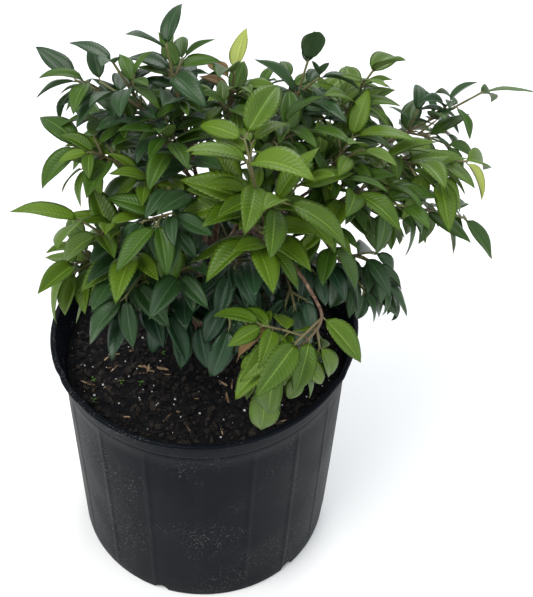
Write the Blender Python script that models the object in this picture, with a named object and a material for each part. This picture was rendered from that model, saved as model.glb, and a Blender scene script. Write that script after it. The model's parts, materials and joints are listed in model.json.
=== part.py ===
"""A young jaboticaba tree in a round nursery pot.

The pot stands on the ground plane with its axis on Z. +X is the side that the trunk leans to, and
-Y is the front. The tree is a trunk, boughs that taper to their tips, and one mass of foliage on
each bough tip. All sizes are in metres.
"""

import math
import random
from collections import Counter
from itertools import combinations

import bmesh
import bpy
from mathutils import Matrix, Vector
from mathutils.bvhtree import BVHTree

UP = Vector((0.0, 0.0, 1.0))
MM = 0.001
GAP = 0.3 * MM
SMOOTH_ANGLE = math.radians(35)

# Pot: a blown plastic nursery can, a little out of round at the rim
POT_HEIGHT = 241 * MM
POT_WALL = 1.6 * MM
FLOOR_THICKNESS = 3 * MM
FOOT_RADIUS = 118.7 * MM
FOOT_ROUNDING = 2.5 * MM
SHOULDER_RADIUS = 123.5 * MM
BAND_HEIGHT = 24.8 * MM
BAND_STEP = 3 * MM
BAND_RADIUS = 126.5 * MM
NECK_RADIUS = 128.6 * MM
BEAD_RADIUS = 132 * MM
BEAD_HEIGHT = 5 * MM
MOUTH_RADIUS = 127.1 * MM
BEAD_WIDEST = 0.55
BEAD_TOP_INSET = 0.3
MOUTH_DROP = 0.25
OVAL = ((2, 0.036, 62.6), (3, 0.008, 41.6))
OVAL_GROWTH = 1.5
POT_SIDES = 48
DRAIN_COUNT = 6
DRAIN_FIRST = math.radians(-107)
DRAIN_INSET = 4 * MM
DRAIN_SIZE = (15 * MM, 13 * MM, 9 * MM)
DRAIN_SIDES = 10
POT_COLOR = (0.012, 0.014, 0.018)
POT_ROUGHNESS = 0.45

# Potting mix: fills the pot to below the band, and lies highest round the trunk
MIX_HEIGHT = 213 * MM
MIX_EDGE_DROP = 4 * MM
MIX_CLEARANCE = 0.8 * MM
MIX_RINGS = (1.0, 0.86, 0.62, 0.30)
MIX_COLOR = (0.012, 0.011, 0.010)
MIX_ROUGHNESS = 0.95

# Trunk: leans to +X above a short upright foot, with a root flare at the mix
TRUNK_FOOT = Vector((-6, 4, 213.3)) * MM
TRUNK_BEND_LOW = Vector((-6, 4, 262)) * MM
TRUNK_BEND_HIGH = Vector((2, -2, 320)) * MM
TRUNK_FORK = Vector((31, 8, 338)) * MM
TRUNK_FOOT_RADIUS = 7.2 * MM
TRUNK_FORK_RADIUS = 4.4 * MM
FLARE_RADIUS = 5.5 * MM
FLARE_HEIGHT = 9 * MM
FLARE_ROOTS = 4
FLARE_RIDGE = 0.25
TRUNK_SIDES = 12
TRUNK_STEPS = 9

# Boughs: name, what it grows from, how far along that, tip in mm, rise, root and tip radius in mm
BOUGHS = (
    ("bough_leader", "trunk", 0.62, (-9, 4, 384), 0.05, 3.4, 1.6),
    ("bough_left", "trunk", 0.46, (-48, -34, 340), 0.30, 3.0, 1.5),
    ("bough_right", "trunk", 1.00, (104, 16, 354), 0.22, 3.9, 1.6),
    ("bough_front", "trunk", 0.87, (41, -32, 366), 0.30, 2.8, 1.5),
    ("bough_top", "trunk", 0.80, (46, 28, 382), 0.10, 2.8, 1.5),
    ("bough_back", "trunk", 0.55, (8, 48, 346), 0.30, 2.9, 1.5),
    ("bough_low_left", "trunk", 0.28, (-26, -20, 290), 0.35, 2.3, 1.3),
    ("bough_low_centre", "trunk", 0.70, (12, -28, 334), 0.35, 2.2, 1.3),
    ("bough_low_back", "trunk", 0.34, (14, 34, 290), 0.35, 2.3, 1.3),
    ("bough_back_left", "bough_back", 0.40, (-32, 40, 350), 0.20, 2.1, 1.3),
    ("bough_back_right", "bough_right", 0.30, (70, 54, 362), 0.20, 2.3, 1.3),
    ("bough_left_hang", "bough_left", 0.62, (-62, -26, 322), 0.15, 1.9, 1.2),
    ("bough_top_left", "bough_leader", 0.86, (-22, 0, 402), 0.10, 1.8, 1.2),
    ("bough_left_mid", "bough_leader", 0.42, (-34, -8, 380), 0.15, 2.0, 1.2),
    ("bough_left_high", "bough_leader", 0.70, (-30, 20, 404), 0.15, 1.9, 1.2),
    ("bough_centre_left", "bough_leader", 0.22, (-20, -26, 366), 0.20, 2.0, 1.2),
    ("bough_top_centre", "bough_top", 0.36, (14, 18, 396), -0.10, 1.9, 1.2),
    ("bough_top_right", "bough_top", 0.62, (74, 40, 384), 0.15, 1.8, 1.2),
    ("bough_front_fall", "bough_front", 0.50, (80, -108, 364), 0.55, 1.7, 1.1),
    ("bough_low_right", "bough_right", 0.16, (54, -22, 336), 0.25, 2.0, 1.2),
    ("bough_right_mid", "bough_right", 0.36, (72, -8, 366), 0.10, 2.0, 1.2),
    ("bough_right_low", "bough_right", 0.58, (96, -16, 336), 0.15, 1.9, 1.2),
    ("bough_right_far", "bough_right", 0.74, (108, 26, 376), 0.10, 1.8, 1.2),
    ("bough_right_back", "bough_right", 0.54, (112, 58, 366), 0.20, 1.9, 1.2),
    ("bough_middle", "bough_top", 0.24, (36, 4, 392), 0.00, 1.9, 1.2),
    ("bough_inner_right", "bough_right", 0.24, (74, 2, 378), 0.10, 1.9, 1.2),
    ("bough_inner_left", "bough_left", 0.34, (-26, -40, 330), 0.20, 1.9, 1.2),
)
BOUGH_SIDES = 6
BOUGH_STEPS = 5
LENGTH_STEPS = 8
BARK_COLOR = (0.10, 0.055, 0.035)
BARK_ROUGHNESS = 0.8

# Masses of foliage: name, its bough, tip of its stem in mm, droop of the stem, leaf length in mm,
# sag of the leaves, tint, seed
MASSES = (
    ("foliage_centre", "bough_front", (27, -72, 456), -0.10, 56, 0.20, "bright", 119),
    ("foliage_front_end", "bough_front_fall", (46, -124, 310), 0.50, 56, 0.35, "bright", 83),
    ("foliage_left_out", "bough_left", (-84, -66, 396), 0.10, 52, 0.35, "bright", 26),
    ("foliage_left_hang", "bough_left_hang", (-94, -58, 350), 0.40, 54, 0.90, "bright", 82),
    ("foliage_top_left", "bough_leader", (-30, 4, 494), 0.00, 44, 0.15, "deep", 31),
    ("foliage_top_side", "bough_top_left", (-66, 0, 482), 0.00, 44, 0.15, "deep", 78),
    ("foliage_left_high", "bough_left_high", (-98, 28, 450), 0.15, 42, 0.25, "deep", 117),
    ("foliage_left_mid", "bough_left_mid", (-90, -18, 424), 0.30, 48, 0.40, "mid", 77),
    ("foliage_centre_left", "bough_centre_left", (-32, -76, 404), 0.50, 52, 0.80, "deep", 118),
    ("foliage_top_centre", "bough_top_centre", (16, 20, 468), 0.00, 44, 0.25, "mid", 98),
    ("foliage_top_mid", "bough_top", (69, 50, 461), -0.10, 42, 0.15, "deep", 57),
    ("foliage_top_right", "bough_top_right", (119, 60, 450), 0.00, 44, 0.15, "bright", 69),
    ("foliage_low_left", "bough_low_left", (-30, -66, 312), 0.40, 54, 1.00, "shade", 88),
    ("foliage_low_centre", "bough_low_centre", (20, -92, 326), 0.60, 58, 1.00, "shade", 54),
    ("foliage_low_right", "bough_low_right", (66, -76, 332), 0.50, 52, 1.00, "shade", 37),
    ("foliage_right_mid", "bough_right_mid", (130, -12, 396), 0.20, 48, 0.40, "mid", 28),
    ("foliage_right_low", "bough_right_low", (146, -22, 304), 0.50, 54, 1.00, "deep", 77),
    ("foliage_right_far", "bough_right_far", (196, 26, 396), 0.20, 46, 0.30, "bright", 81),
    ("foliage_right_end", "bough_right", (206, 30, 338), 0.30, 44, 0.50, "mid", 63),
    ("foliage_right_tip", "bough_right_back", (214, 92, 418), 0.00, 44, 0.20, "deep", 132),
    ("foliage_back", "bough_back", (20, 116, 388), 0.40, 48, 0.60, "mid", 37),
    ("foliage_back_left", "bough_back_left", (-84, 84, 376), 0.50, 48, 0.60, "deep", 67),
    ("foliage_back_right", "bough_back_right", (130, 122, 384), 0.40, 48, 0.60, "mid", 114),
    ("foliage_low_back", "bough_low_back", (24, 96, 300), 0.50, 50, 0.90, "shade", 94),
    ("foliage_middle", "bough_middle", (52, -8, 444), 0.10, 46, 0.30, "mid", 22),
    ("foliage_inner_right", "bough_inner_right", (104, 10, 424), 0.10, 46, 0.30, "mid", 149),
    ("foliage_inner_left", "bough_inner_left", (-62, -66, 352), 0.40, 50, 0.60, "deep", 117),
)
TINTS = {
    "bright": (0.13, 0.27, 0.035),
    "mid": (0.07, 0.16, 0.03),
    "deep": (0.035, 0.085, 0.04),
    "shade": (0.02, 0.055, 0.03),
}

# Growth of one mass: side shoots and leaves stand in pairs along its stem
STEM_TIP_RADIUS = 0.9 * MM
STEM_STEPS = 4
TWIG_SIDES = 3
NODE_SPACING = 19 * MM
FEWEST_PAIRS = 3
FIRST_NODE = 0.12
LAST_NODE = 0.97
PAIR_ROLL = math.radians(28)
PAIR_OFFSET = 0.7 * MM
ROLL_SPREAD = 0.3
STEEP = 0.25
TRIES = 9

# Side shoots: thin twigs with a middle and an end pair of leaves
FORK_CHANCE = 0.35
SHOOT_RADIUS = (1.05 * MM, 0.8 * MM)
SHOOT_STEPS = 2
SHOOT_LENGTH = (26 * MM, 44 * MM)
SHOOT_TAPER = (1.1, 0.4)
SHOOT_ANGLE = math.radians(52)
SHOOT_ANGLE_SPREAD = 0.2
SHOOT_ROLL_SPREAD = 0.4
SHOOT_TURN_AHEAD = 0.15
SHOOT_TURN_UP = 0.05
SHOOT_RISE = (-0.1, 0.2)
SHOOT_ROOT = 0.2
SHOOT_NODES = (0.52, LAST_NODE)
SHOOT_LEAF_SHARE = 0.94

# Leaves: pointed blades that fold along the midrib and bend down towards the tip
LEAF_ANGLE = math.radians(58)
END_LEAF_ANGLE = math.radians(34)
LEAF_ANGLE_SPREAD = 0.25
LEAF_ROLL_SPREAD = 0.5
LEAF_SIZE = (0.72, 1.08)
LEAF_SAG = (0.4, 1.3)
LEAF_WIDTH = 0.38
LEAF_WIDEST = 0.34
LEAF_SHOULDER = 0.66
SHOULDER_WIDTH = 0.82
LEAF_THICKEST = 0.36
THICKNESS_SHARE = 0.011
LEAF_BEND = (0.2, 1.1)
LEAF_FOLD = (0.10, 0.70)
LEAF_TILT = math.radians(22)
OUTWARD_TILT = 2.2
LEAF_ROUGHNESS = 0.4

# Room: how clear the pieces stay of each other, and where a mass ends
CLEARANCE = 0.5 * MM
NECK = 4 * MM
SHARED_BORDER = 14 * MM
AXIS_STEPS = 5

# Joining: a join that leaves points closer than the welds is made again with the pieces nudged
WELDS = (0.0001 * MM, 0.0002 * MM)
JOIN_TRIES = 12
NUDGE = 0.02 * MM


def clear_scene():
    """Start from an empty scene."""
    for thing in list(bpy.data.objects):
        bpy.data.objects.remove(thing, do_unlink=True)


def new_material(name, color, roughness):
    """A plain Principled material."""
    material = bpy.data.materials.new(name)
    material.use_nodes = True
    shader = material.node_tree.nodes["Principled BSDF"]
    shader.inputs["Base Color"].default_value = (*color, 1.0)
    shader.inputs["Roughness"].default_value = roughness
    material.diffuse_color = (*color, 1.0)
    return material


def new_object(name, points, faces, material=None, smooth=False):
    """A mesh object from points and faces."""
    mesh = bpy.data.meshes.new(name)
    mesh.from_pydata([tuple(p) for p in points], [], faces)
    if smooth:
        mesh.shade_smooth()
        mesh.set_sharp_from_angle(angle=SMOOTH_ANGLE)
    if material:
        mesh.materials.append(material)
    thing = bpy.data.objects.new(name, mesh)
    bpy.context.scene.collection.objects.link(thing)
    return thing


def apply_modifiers(thing):
    """Replace an object's mesh by what its modifiers make of it."""
    graph = bpy.context.evaluated_depsgraph_get()
    mesh = bpy.data.meshes.new_from_object(thing.evaluated_get(graph))
    old = thing.data
    thing.modifiers.clear()
    thing.data = mesh
    bpy.data.meshes.remove(old)


# Pot and mix


def out_of_round(angle, height):
    """How much wider than round the pot is at an angle and a height."""
    fade = (height / POT_HEIGHT) ** OVAL_GROWTH
    waves = sum(size * math.cos(n * (angle - math.radians(turn))) for n, size, turn in OVAL)
    return 1.0 + fade * waves


def ring(radius, height, sides):
    """One ring of a pot-shaped turned form."""
    points = []
    for i in range(sides):
        angle = 2 * math.pi * i / sides
        r = radius * out_of_round(angle, height)
        points.append(Vector((r * math.cos(angle), r * math.sin(angle), height)))
    return points


def turned(profile, sides):
    """A closed form turned from a profile of (radius, height) that starts and ends on the axis."""
    points = [Vector((0, 0, profile[0][1]))]
    for radius, height in profile[1:-1]:
        points += ring(radius, height, sides)
    points.append(Vector((0, 0, profile[-1][1])))
    last = len(points) - 1
    faces = []
    for i in range(sides):
        j = (i + 1) % sides
        faces.append((0, 1 + j, 1 + i))
        for k in range(len(profile) - 3):
            low = 1 + k * sides
            high = low + sides
            faces.append((low + i, low + j, high + j, high + i))
        top = 1 + (len(profile) - 3) * sides
        faces.append((top + i, top + j, last))
    return points, faces


def pot_profiles():
    """The pot's outer outline from the foot up, and its inner outline from the rim down."""
    band_foot = POT_HEIGHT - BAND_HEIGHT
    outer = [
        (0, 0),
        (FOOT_RADIUS - FOOT_ROUNDING, 0),
        (FOOT_RADIUS, FOOT_ROUNDING),
        (SHOULDER_RADIUS, band_foot - BAND_STEP),
        (BAND_RADIUS, band_foot),
        (NECK_RADIUS, POT_HEIGHT - BEAD_HEIGHT),
        (BEAD_RADIUS, POT_HEIGHT - BEAD_WIDEST * BEAD_HEIGHT),
        (BEAD_RADIUS - BEAD_TOP_INSET * BEAD_HEIGHT, POT_HEIGHT),
    ]
    inner = [
        (MOUTH_RADIUS, POT_HEIGHT - MOUTH_DROP * BEAD_HEIGHT),
        (BAND_RADIUS - POT_WALL, band_foot + POT_WALL),
        (SHOULDER_RADIUS - POT_WALL, band_foot - BAND_STEP),
        (FOOT_RADIUS - POT_WALL, FLOOR_THICKNESS),
        (0, FLOOR_THICKNESS),
    ]
    return outer, inner


def make_pot():
    """The pot with its drain holes through the corner of wall and floor."""
    outer, inner = pot_profiles()
    points, faces = turned(outer + inner, POT_SIDES)
    pot = new_object("pot", points, faces, new_material("pot", POT_COLOR, POT_ROUGHNESS), True)
    holes = bpy.data.collections.new("drains")
    bpy.context.scene.collection.children.link(holes)
    for i in range(DRAIN_COUNT):
        angle = DRAIN_FIRST + 2 * math.pi * i / DRAIN_COUNT
        mesh = bmesh.new()
        bmesh.ops.create_cone(
            mesh, cap_ends=True, segments=DRAIN_SIDES, radius1=0.5, radius2=0.5, depth=1.0
        )
        place = Matrix.Translation((FOOT_RADIUS - DRAIN_INSET, 0, 0)) @ Matrix.Diagonal((*DRAIN_SIZE, 1))
        bmesh.ops.transform(mesh, matrix=Matrix.Rotation(angle, 4, "Z") @ place, verts=mesh.verts)
        cutter = new_object(f"drain_{i}", [], [])
        mesh.to_mesh(cutter.data)
        mesh.free()
        bpy.context.scene.collection.objects.unlink(cutter)
        holes.objects.link(cutter)
    cut = pot.modifiers.new("drains", "BOOLEAN")
    cut.operation = "DIFFERENCE"
    cut.operand_type = "COLLECTION"
    cut.collection = holes
    apply_modifiers(pot)
    for cutter in list(holes.objects):
        bpy.data.objects.remove(cutter, do_unlink=True)
    bpy.data.collections.remove(holes)
    return pot


def make_mix():
    """The potting mix, a hair clear of the pot all round."""
    wall_foot = (FOOT_RADIUS - POT_WALL, FLOOR_THICKNESS)
    wall_head = (SHOULDER_RADIUS - POT_WALL, POT_HEIGHT - BAND_HEIGHT - BAND_STEP)
    slope = (wall_head[0] - wall_foot[0]) / (wall_head[1] - wall_foot[1])
    edge_height = MIX_HEIGHT - MIX_EDGE_DROP
    foot_height = FLOOR_THICKNESS + GAP
    foot_radius = wall_foot[0] + slope * GAP - MIX_CLEARANCE
    edge_radius = wall_foot[0] + slope * (edge_height - wall_foot[1]) - MIX_CLEARANCE
    profile = [(0, foot_height), (foot_radius, foot_height)]
    for share in MIX_RINGS:
        mound = MIX_EDGE_DROP * (1 - share**2) if share > MIX_RINGS[-1] else MIX_EDGE_DROP
        profile.append((edge_radius * share, edge_height + mound))
    profile.append((0, MIX_HEIGHT))
    points, faces = turned(profile, POT_SIDES)
    return new_object("potting_mix", points, faces, new_material("mix", MIX_COLOR, MIX_ROUGHNESS))


# Limbs


class Limb:
    """A bent, tapering limb: a cubic Bezier centre line and its radius along it."""

    def __init__(self, points, root_radius, tip_radius, sides, steps):
        self.points = [Vector(p) for p in points]
        self.root_radius = root_radius
        self.tip_radius = tip_radius
        self.sides = sides
        self.steps = steps

    def point(self, t):
        """Place on the centre line, from 0 at the root to 1 at the tip."""
        a, b, c, d = self.points
        s = 1 - t
        return a * s**3 + b * (3 * s * s * t) + c * (3 * s * t * t) + d * t**3

    def direction(self, t):
        """Unit direction of growth."""
        a, b, c, d = self.points
        s = 1 - t
        return ((b - a) * (s * s) + (c - b) * (2 * s * t) + (d - c) * (t * t)).normalized()

    def radius(self, t):
        """Radius of the limb."""
        return self.root_radius + (self.tip_radius - self.root_radius) * t

    def length(self):
        """Length along the centre line."""
        places = [self.point(i / LENGTH_STEPS) for i in range(LENGTH_STEPS + 1)]
        return sum((q - p).length for p, q in zip(places, places[1:]))

    def tube(self, grow=0.0, first=0.0, last=1.0):
        """Points and faces of the limb's skin, with flat ends, from one place to another along it."""
        points = []
        side = None
        for k in range(self.steps + 1):
            t = first + (last - first) * k / self.steps
            along = self.direction(t)
            side = side or along.orthogonal()
            side = (side - along * side.dot(along)).normalized()
            other = along.cross(side)
            for i in range(self.sides):
                angle = 2 * math.pi * i / self.sides
                r = self.skin_radius(t, angle) + grow
                points.append(self.point(t) + (side * math.cos(angle) + other * math.sin(angle)) * r)
        n = self.sides
        faces = [tuple(reversed(range(n))), tuple(range(self.steps * n, self.steps * n + n))]
        for k in range(self.steps):
            for i in range(n):
                j = (i + 1) % n
                faces.append((k * n + i, k * n + j, k * n + n + j, k * n + n + i))
        return points, faces

    def skin_radius(self, t, angle):
        """Radius at one place on the skin."""
        return self.radius(t)


class Trunk(Limb):
    """The trunk: a limb that spreads into a root flare at its foot."""

    def skin_radius(self, t, angle):
        """Radius with the flare, which runs out in a few ridges."""
        flare = math.exp(-(self.point(t).z - TRUNK_FOOT.z) / FLARE_HEIGHT)
        ridges = 1 - FLARE_RIDGE + FLARE_RIDGE * math.cos(FLARE_ROOTS * angle)
        return self.radius(t) + FLARE_RADIUS * flare * ridges


def bent_limb(start, tip, rise, root_radius, tip_radius, sides=BOUGH_SIDES, steps=BOUGH_STEPS):
    """A limb that leaves rising above the straight way to its tip, and reaches it from above."""
    reach = tip - start
    third = reach.length / 3
    leave = (reach.normalized() + UP * rise).normalized()
    arrive = (reach.normalized() - UP * rise).normalized()
    points = (start, start + leave * third, tip - arrive * third, tip)
    return Limb(points, root_radius, tip_radius, sides, steps)


def grow_limbs():
    """The trunk and the boughs, by name, each from the middle of what it grows from."""
    ends = (TRUNK_FOOT, TRUNK_BEND_LOW, TRUNK_BEND_HIGH, TRUNK_FORK)
    limbs = {"trunk": Trunk(ends, TRUNK_FOOT_RADIUS, TRUNK_FORK_RADIUS, TRUNK_SIDES, TRUNK_STEPS)}
    for name, parent, place, tip, rise, root_radius, tip_radius in BOUGHS:
        start = limbs[parent].point(place)
        limbs[name] = bent_limb(start, Vector(tip) * MM, rise, root_radius * MM, tip_radius * MM)
    return limbs


def make_limbs(limbs):
    """Solids of the limbs, each cut a hair clear of its parent and of its elder neighbours."""
    bark = new_material("bark", BARK_COLOR, BARK_ROUGHNESS)
    parents = {row[0]: row[1] for row in BOUGHS}
    elders = []
    for name, limb in limbs.items():
        points, faces = limb.tube()
        solid = new_object(name, points, faces, bark, True)
        parent = parents.get(name)
        near = [e for e in elders if e in (parent, parents.get(parent)) or parents.get(e) == parent]
        cutters = []
        for elder in near:
            cutter = new_object("cutter", *limbs[elder].tube(grow=GAP))
            cut = solid.modifiers.new(elder, "BOOLEAN")
            cut.operation = "DIFFERENCE"
            cut.object = cutter
            cutters.append(cutter)
        if cutters:
            apply_modifiers(solid)
        for cutter in cutters:
            bpy.data.objects.remove(cutter, do_unlink=True)
        keep_largest(solid)
        elders.append(name)


def keep_largest(thing):
    """Drop loose scraps and fill sealed hollows: only the largest closed shell stays, in triangles."""
    mesh = bmesh.new()
    mesh.from_mesh(thing.data)
    waiting = set(mesh.verts)
    shells = []
    while waiting:
        shell = set()
        edge = [waiting.pop()]
        while edge:
            vert = edge.pop()
            shell.add(vert)
            for link in vert.link_edges:
                other = link.other_vert(vert)
                if other in waiting:
                    waiting.remove(other)
                    edge.append(other)
        shells.append(shell)
    shells.sort(key=spread, reverse=True)
    for shell in shells[1:]:
        bmesh.ops.delete(mesh, geom=list(shell), context="VERTS")
    bmesh.ops.triangulate(mesh, faces=mesh.faces, quad_method="BEAUTY", ngon_method="BEAUTY")
    mesh.to_mesh(thing.data)
    mesh.free()


def spread(shell):
    """How far a shell's points reach, as the diagonal of their box."""
    low = Vector(min(v.co[i] for v in shell) for i in range(3))
    high = Vector(max(v.co[i] for v in shell) for i in range(3))
    return (high - low).length


# Foliage


class Leaf:
    """A leaf: base, direction, upper side, length, bend along it and fold along its midrib."""

    def __init__(self, base, along, upper, length, bend, fold):
        self.base = base
        self.along = along.normalized()
        self.upper = (upper - self.along * upper.dot(self.along)).normalized()
        self.side = self.upper.cross(self.along)
        self.length = length
        self.bend = bend
        self.fold = fold

    def point(self, t, across=0.0, above=0.0):
        """Place on the blade: t along the midrib, across it, and above its upper side."""
        turn = self.bend * t
        ahead = math.sin(turn) / self.bend * self.length
        below = (1 - math.cos(turn)) / self.bend * self.length
        normal = self.upper * math.cos(turn) + self.along * math.sin(turn)
        lift = above + abs(across) * self.fold
        return self.base + self.along * ahead - self.upper * below + self.side * across + normal * lift

    def solid(self, neck=0.0, grow=0.0):
        """Eight points and twelve faces: a six-sided outline, thickest towards its root."""
        half = 0.5 * LEAF_WIDTH * self.length
        thick = 0.5 * THICKNESS_SHARE * self.length + grow
        outline = [
            self.point(neck / self.length),
            self.point(LEAF_WIDEST, -half - grow),
            self.point(LEAF_SHOULDER, -SHOULDER_WIDTH * half - grow),
            self.point(1.0),
            self.point(LEAF_SHOULDER, SHOULDER_WIDTH * half + grow),
            self.point(LEAF_WIDEST, half + grow),
        ]
        n = len(outline)
        faces = []
        for i in range(n):
            j = (i + 1) % n
            faces.append((n, j, i))
            faces.append((n + 1, i, j))
        middle = [self.point(LEAF_THICKEST, 0, thick), self.point(LEAF_THICKEST, 0, -thick)]
        return outline + middle, faces


class Space:
    """What has been grown so far, and who may grow where."""

    def __init__(self, limbs):
        self.taken = []
        self.axes = {}
        for name, limb in limbs.items():
            self.take(name, *limb.tube(grow=CLEARANCE))
        for row in MASSES:
            stem = mass_stem(row, limbs)
            self.axes[row[0]] = [stem.point(i / AXIS_STEPS) for i in range(AXIS_STEPS + 1)]
            self.take(f"{row[0]}_0", *stem.tube(grow=CLEARANCE))

    def take(self, key, points, faces):
        """Enter a solid as taken."""
        middle = sum(points, Vector()) / len(points)
        size = max((p - middle).length for p in points)
        self.taken.append((key, middle, size, BVHTree.FromPolygons(points, faces)))

    def is_clear(self, bearer, points, faces):
        """Whether a solid stays clear of all but the twig that bears it."""
        middle = sum(points, Vector()) / len(points)
        size = max((p - middle).length for p in points)
        tree = BVHTree.FromPolygons(points, faces)
        for key, centre, reach, other_tree in self.taken:
            if key == bearer or (centre - middle).length > reach + size:
                continue
            if tree.overlap(other_tree):
                return False
        return True

    def is_own(self, mass, place):
        """Whether a place lies in a mass's own space: no other stem is nearer, but for a narrow border."""
        limit = self.distance(mass, place) - SHARED_BORDER
        return all(limit < self.distance(other, place) for other in self.axes if other != mass)

    def distance(self, mass, place):
        """Distance from a place to a mass's stem."""
        axis = self.axes[mass]
        nearest = []
        for p, q in zip(axis, axis[1:]):
            run = q - p
            t = min(max((place - p).dot(run) / run.length_squared, 0.0), 1.0)
            nearest.append((p + run * t - place).length)
        return min(nearest)


def mass_stem(row, limbs):
    """The stem of a mass, which goes on from its bough's tip."""
    _, bough, tip, droop, _, _, _, _ = row
    limb = limbs[bough]
    ahead = limb.direction(1.0)
    start = limb.point(1.0) + ahead * GAP
    reach = Vector(tip) * MM - start
    third = reach.length / 3
    arrive = (reach.normalized() - UP * droop).normalized()
    points = (start, start + ahead * third, Vector(tip) * MM - arrive * third, Vector(tip) * MM)
    return Limb(points, limb.tip_radius, STEM_TIP_RADIUS, TWIG_SIDES, STEM_STEPS)


class Mass:
    """One mass of foliage: its stem, side shoots and leaves, grown from its seed where there is room."""

    def __init__(self, row, limbs, space):
        self.name, _, _, _, self.leaf_length, self.sag, self.tint, seed = row
        self.dice = random.Random(seed)
        self.space = space
        self.twigs = [mass_stem(row, limbs)]
        self.leaves = []
        self.grow()

    def grow(self):
        """Grow pairs along the stem, where each side of a pair is a side shoot or a leaf."""
        pairs = max(FEWEST_PAIRS, round(self.twigs[0].length() / NODE_SPACING))
        for k in range(pairs):
            t = FIRST_NODE + (LAST_NODE - FIRST_NODE) * k / (pairs - 1)
            roll = PAIR_ROLL * (-1) ** k + self.spread(ROLL_SPREAD)
            at_end = k == pairs - 1
            for hand in (-1, 1):
                forks = not at_end and self.dice.random() < FORK_CHANCE
                if not (forks and self.add_shoot(t, hand, roll)):
                    self.add_leaf(0, t, hand, roll, at_end)

    def spread(self, size):
        """A random amount to either side."""
        return self.dice.uniform(-size, size)

    def add_shoot(self, t, hand, roll):
        """Grow a side shoot with its pairs of leaves, and say whether it found room."""
        stem = self.twigs[0]
        for _ in range(TRIES):
            ahead, sideways = side_frame(stem, t, hand, roll + self.spread(SHOOT_ROLL_SPREAD))
            angle = SHOOT_ANGLE + self.spread(SHOOT_ANGLE_SPREAD)
            size = self.dice.uniform(*SHOOT_LENGTH) * (SHOOT_TAPER[0] - SHOOT_TAPER[1] * t)
            leave = ahead * math.cos(angle) + sideways * math.sin(angle)
            start = stem.point(t) + ahead * (PAIR_OFFSET * hand)
            tip = start + (leave + ahead * SHOOT_TURN_AHEAD + UP * SHOOT_TURN_UP).normalized() * size
            rise = self.dice.uniform(*SHOOT_RISE)
            shoot = bent_limb(start, tip, rise, *SHOOT_RADIUS, TWIG_SIDES, SHOOT_STEPS)
            outer = shoot.tube(grow=CLEARANCE, first=SHOOT_ROOT)
            if self.space.is_own(self.name, tip) and self.space.is_clear(f"{self.name}_0", *outer):
                self.leaf_shoot(shoot)
                return True
        return False

    def leaf_shoot(self, shoot):
        """Keep a side shoot, and grow its leaves."""
        number = len(self.twigs)
        self.twigs.append(shoot)
        self.space.take(f"{self.name}_{number}", *shoot.tube(grow=CLEARANCE))
        for n, place in enumerate(SHOOT_NODES):
            roll = PAIR_ROLL * (-1) ** n + self.spread(ROLL_SPREAD)
            for hand in (-1, 1):
                self.add_leaf(number, place, hand, roll, place == LAST_NODE, SHOOT_LEAF_SHARE)

    def add_leaf(self, number, t, hand, roll, at_end, share=1.0):
        """Grow a leaf at a place on one of the twigs, if it finds room."""
        twig = self.twigs[number]
        key = f"{self.name}_{number}"
        for _ in range(TRIES):
            ahead, sideways = side_frame(twig, t, hand, roll + self.spread(LEAF_ROLL_SPREAD))
            angle = (END_LEAF_ANGLE if at_end else LEAF_ANGLE) + self.spread(LEAF_ANGLE_SPREAD)
            along = ahead * math.cos(angle) + sideways * math.sin(angle)
            along = along - UP * self.sag * self.dice.uniform(*LEAF_SAG)
            base = twig.point(t) + ahead * (PAIR_OFFSET * hand)
            outward = Vector((base.x - TRUNK_FORK.x, base.y, 0.0)) * OUTWARD_TILT
            tilt = Matrix.Rotation(self.spread(LEAF_TILT), 3, along.normalized())
            size = self.leaf_length * share * MM * self.dice.uniform(*LEAF_SIZE)
            bend = self.dice.uniform(*LEAF_BEND)
            leaf = Leaf(base, along, tilt @ (UP + outward), size, bend, self.dice.uniform(*LEAF_FOLD))
            form = leaf.solid(neck=NECK, grow=CLEARANCE)
            if self.space.is_own(self.name, leaf.point(0.5)) and self.space.is_clear(key, *form):
                self.space.take(f"{key}_leaf_{len(self.leaves)}", *form)
                self.leaves.append(leaf)
                return


def side_frame(limb, t, hand, roll):
    """Direction of the limb and the direction sideways from it, rolled about it."""
    ahead = limb.direction(t)
    flat = ahead.cross(UP)
    if flat.length < STEEP:
        flat = ahead.cross(Vector((1, 0, 0)))
    return ahead, Matrix.Rotation(roll, 3, ahead) @ (flat.normalized() * hand)


def make_mass(mass):
    """One solid for a mass, joined again with its pieces nudged where a join leaves a hair-thin gap."""
    for attempt in range(JOIN_TRIES):
        solid = join_mass(mass, attempt)
        if is_sound(solid):
            return
        if attempt < JOIN_TRIES - 1:
            bpy.data.objects.remove(solid, do_unlink=True)


def join_mass(mass, attempt):
    """Join a mass's side shoots and leaves to its stem by one union."""
    stem, *shoots = [new_object(mass.name, *twig.tube()) for twig in mass.twigs]
    stem.data.materials.append(new_material(mass.name, TINTS[mass.tint], LEAF_ROUGHNESS))
    blades = [new_object("leaf", *leaf.solid()) for leaf in mass.leaves]
    dice = random.Random(attempt)
    for piece in shoots + blades:
        nudge = Vector(dice.uniform(-1, 1) for _ in range(3)) * NUDGE * attempt
        piece.data.transform(Matrix.Translation(nudge))
    parts = bpy.data.collections.new(f"{mass.name}_parts")
    bpy.context.scene.collection.children.link(parts)
    for part in shoots + blades:
        bpy.context.scene.collection.objects.unlink(part)
        parts.objects.link(part)
    join = stem.modifiers.new("join", "BOOLEAN")
    join.operation = "UNION"
    join.operand_type = "COLLECTION"
    join.collection = parts
    apply_modifiers(stem)
    for part in list(parts.objects):
        bpy.data.objects.remove(part, do_unlink=True)
    bpy.data.collections.remove(parts)
    keep_largest(stem)
    return stem


def is_sound(thing):
    """Whether every edge joins two triangles, also once points that nearly meet are one."""
    thing.data.calc_loop_triangles()
    return all(joins_in_pairs(thing.data, weld) for weld in WELDS)


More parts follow.
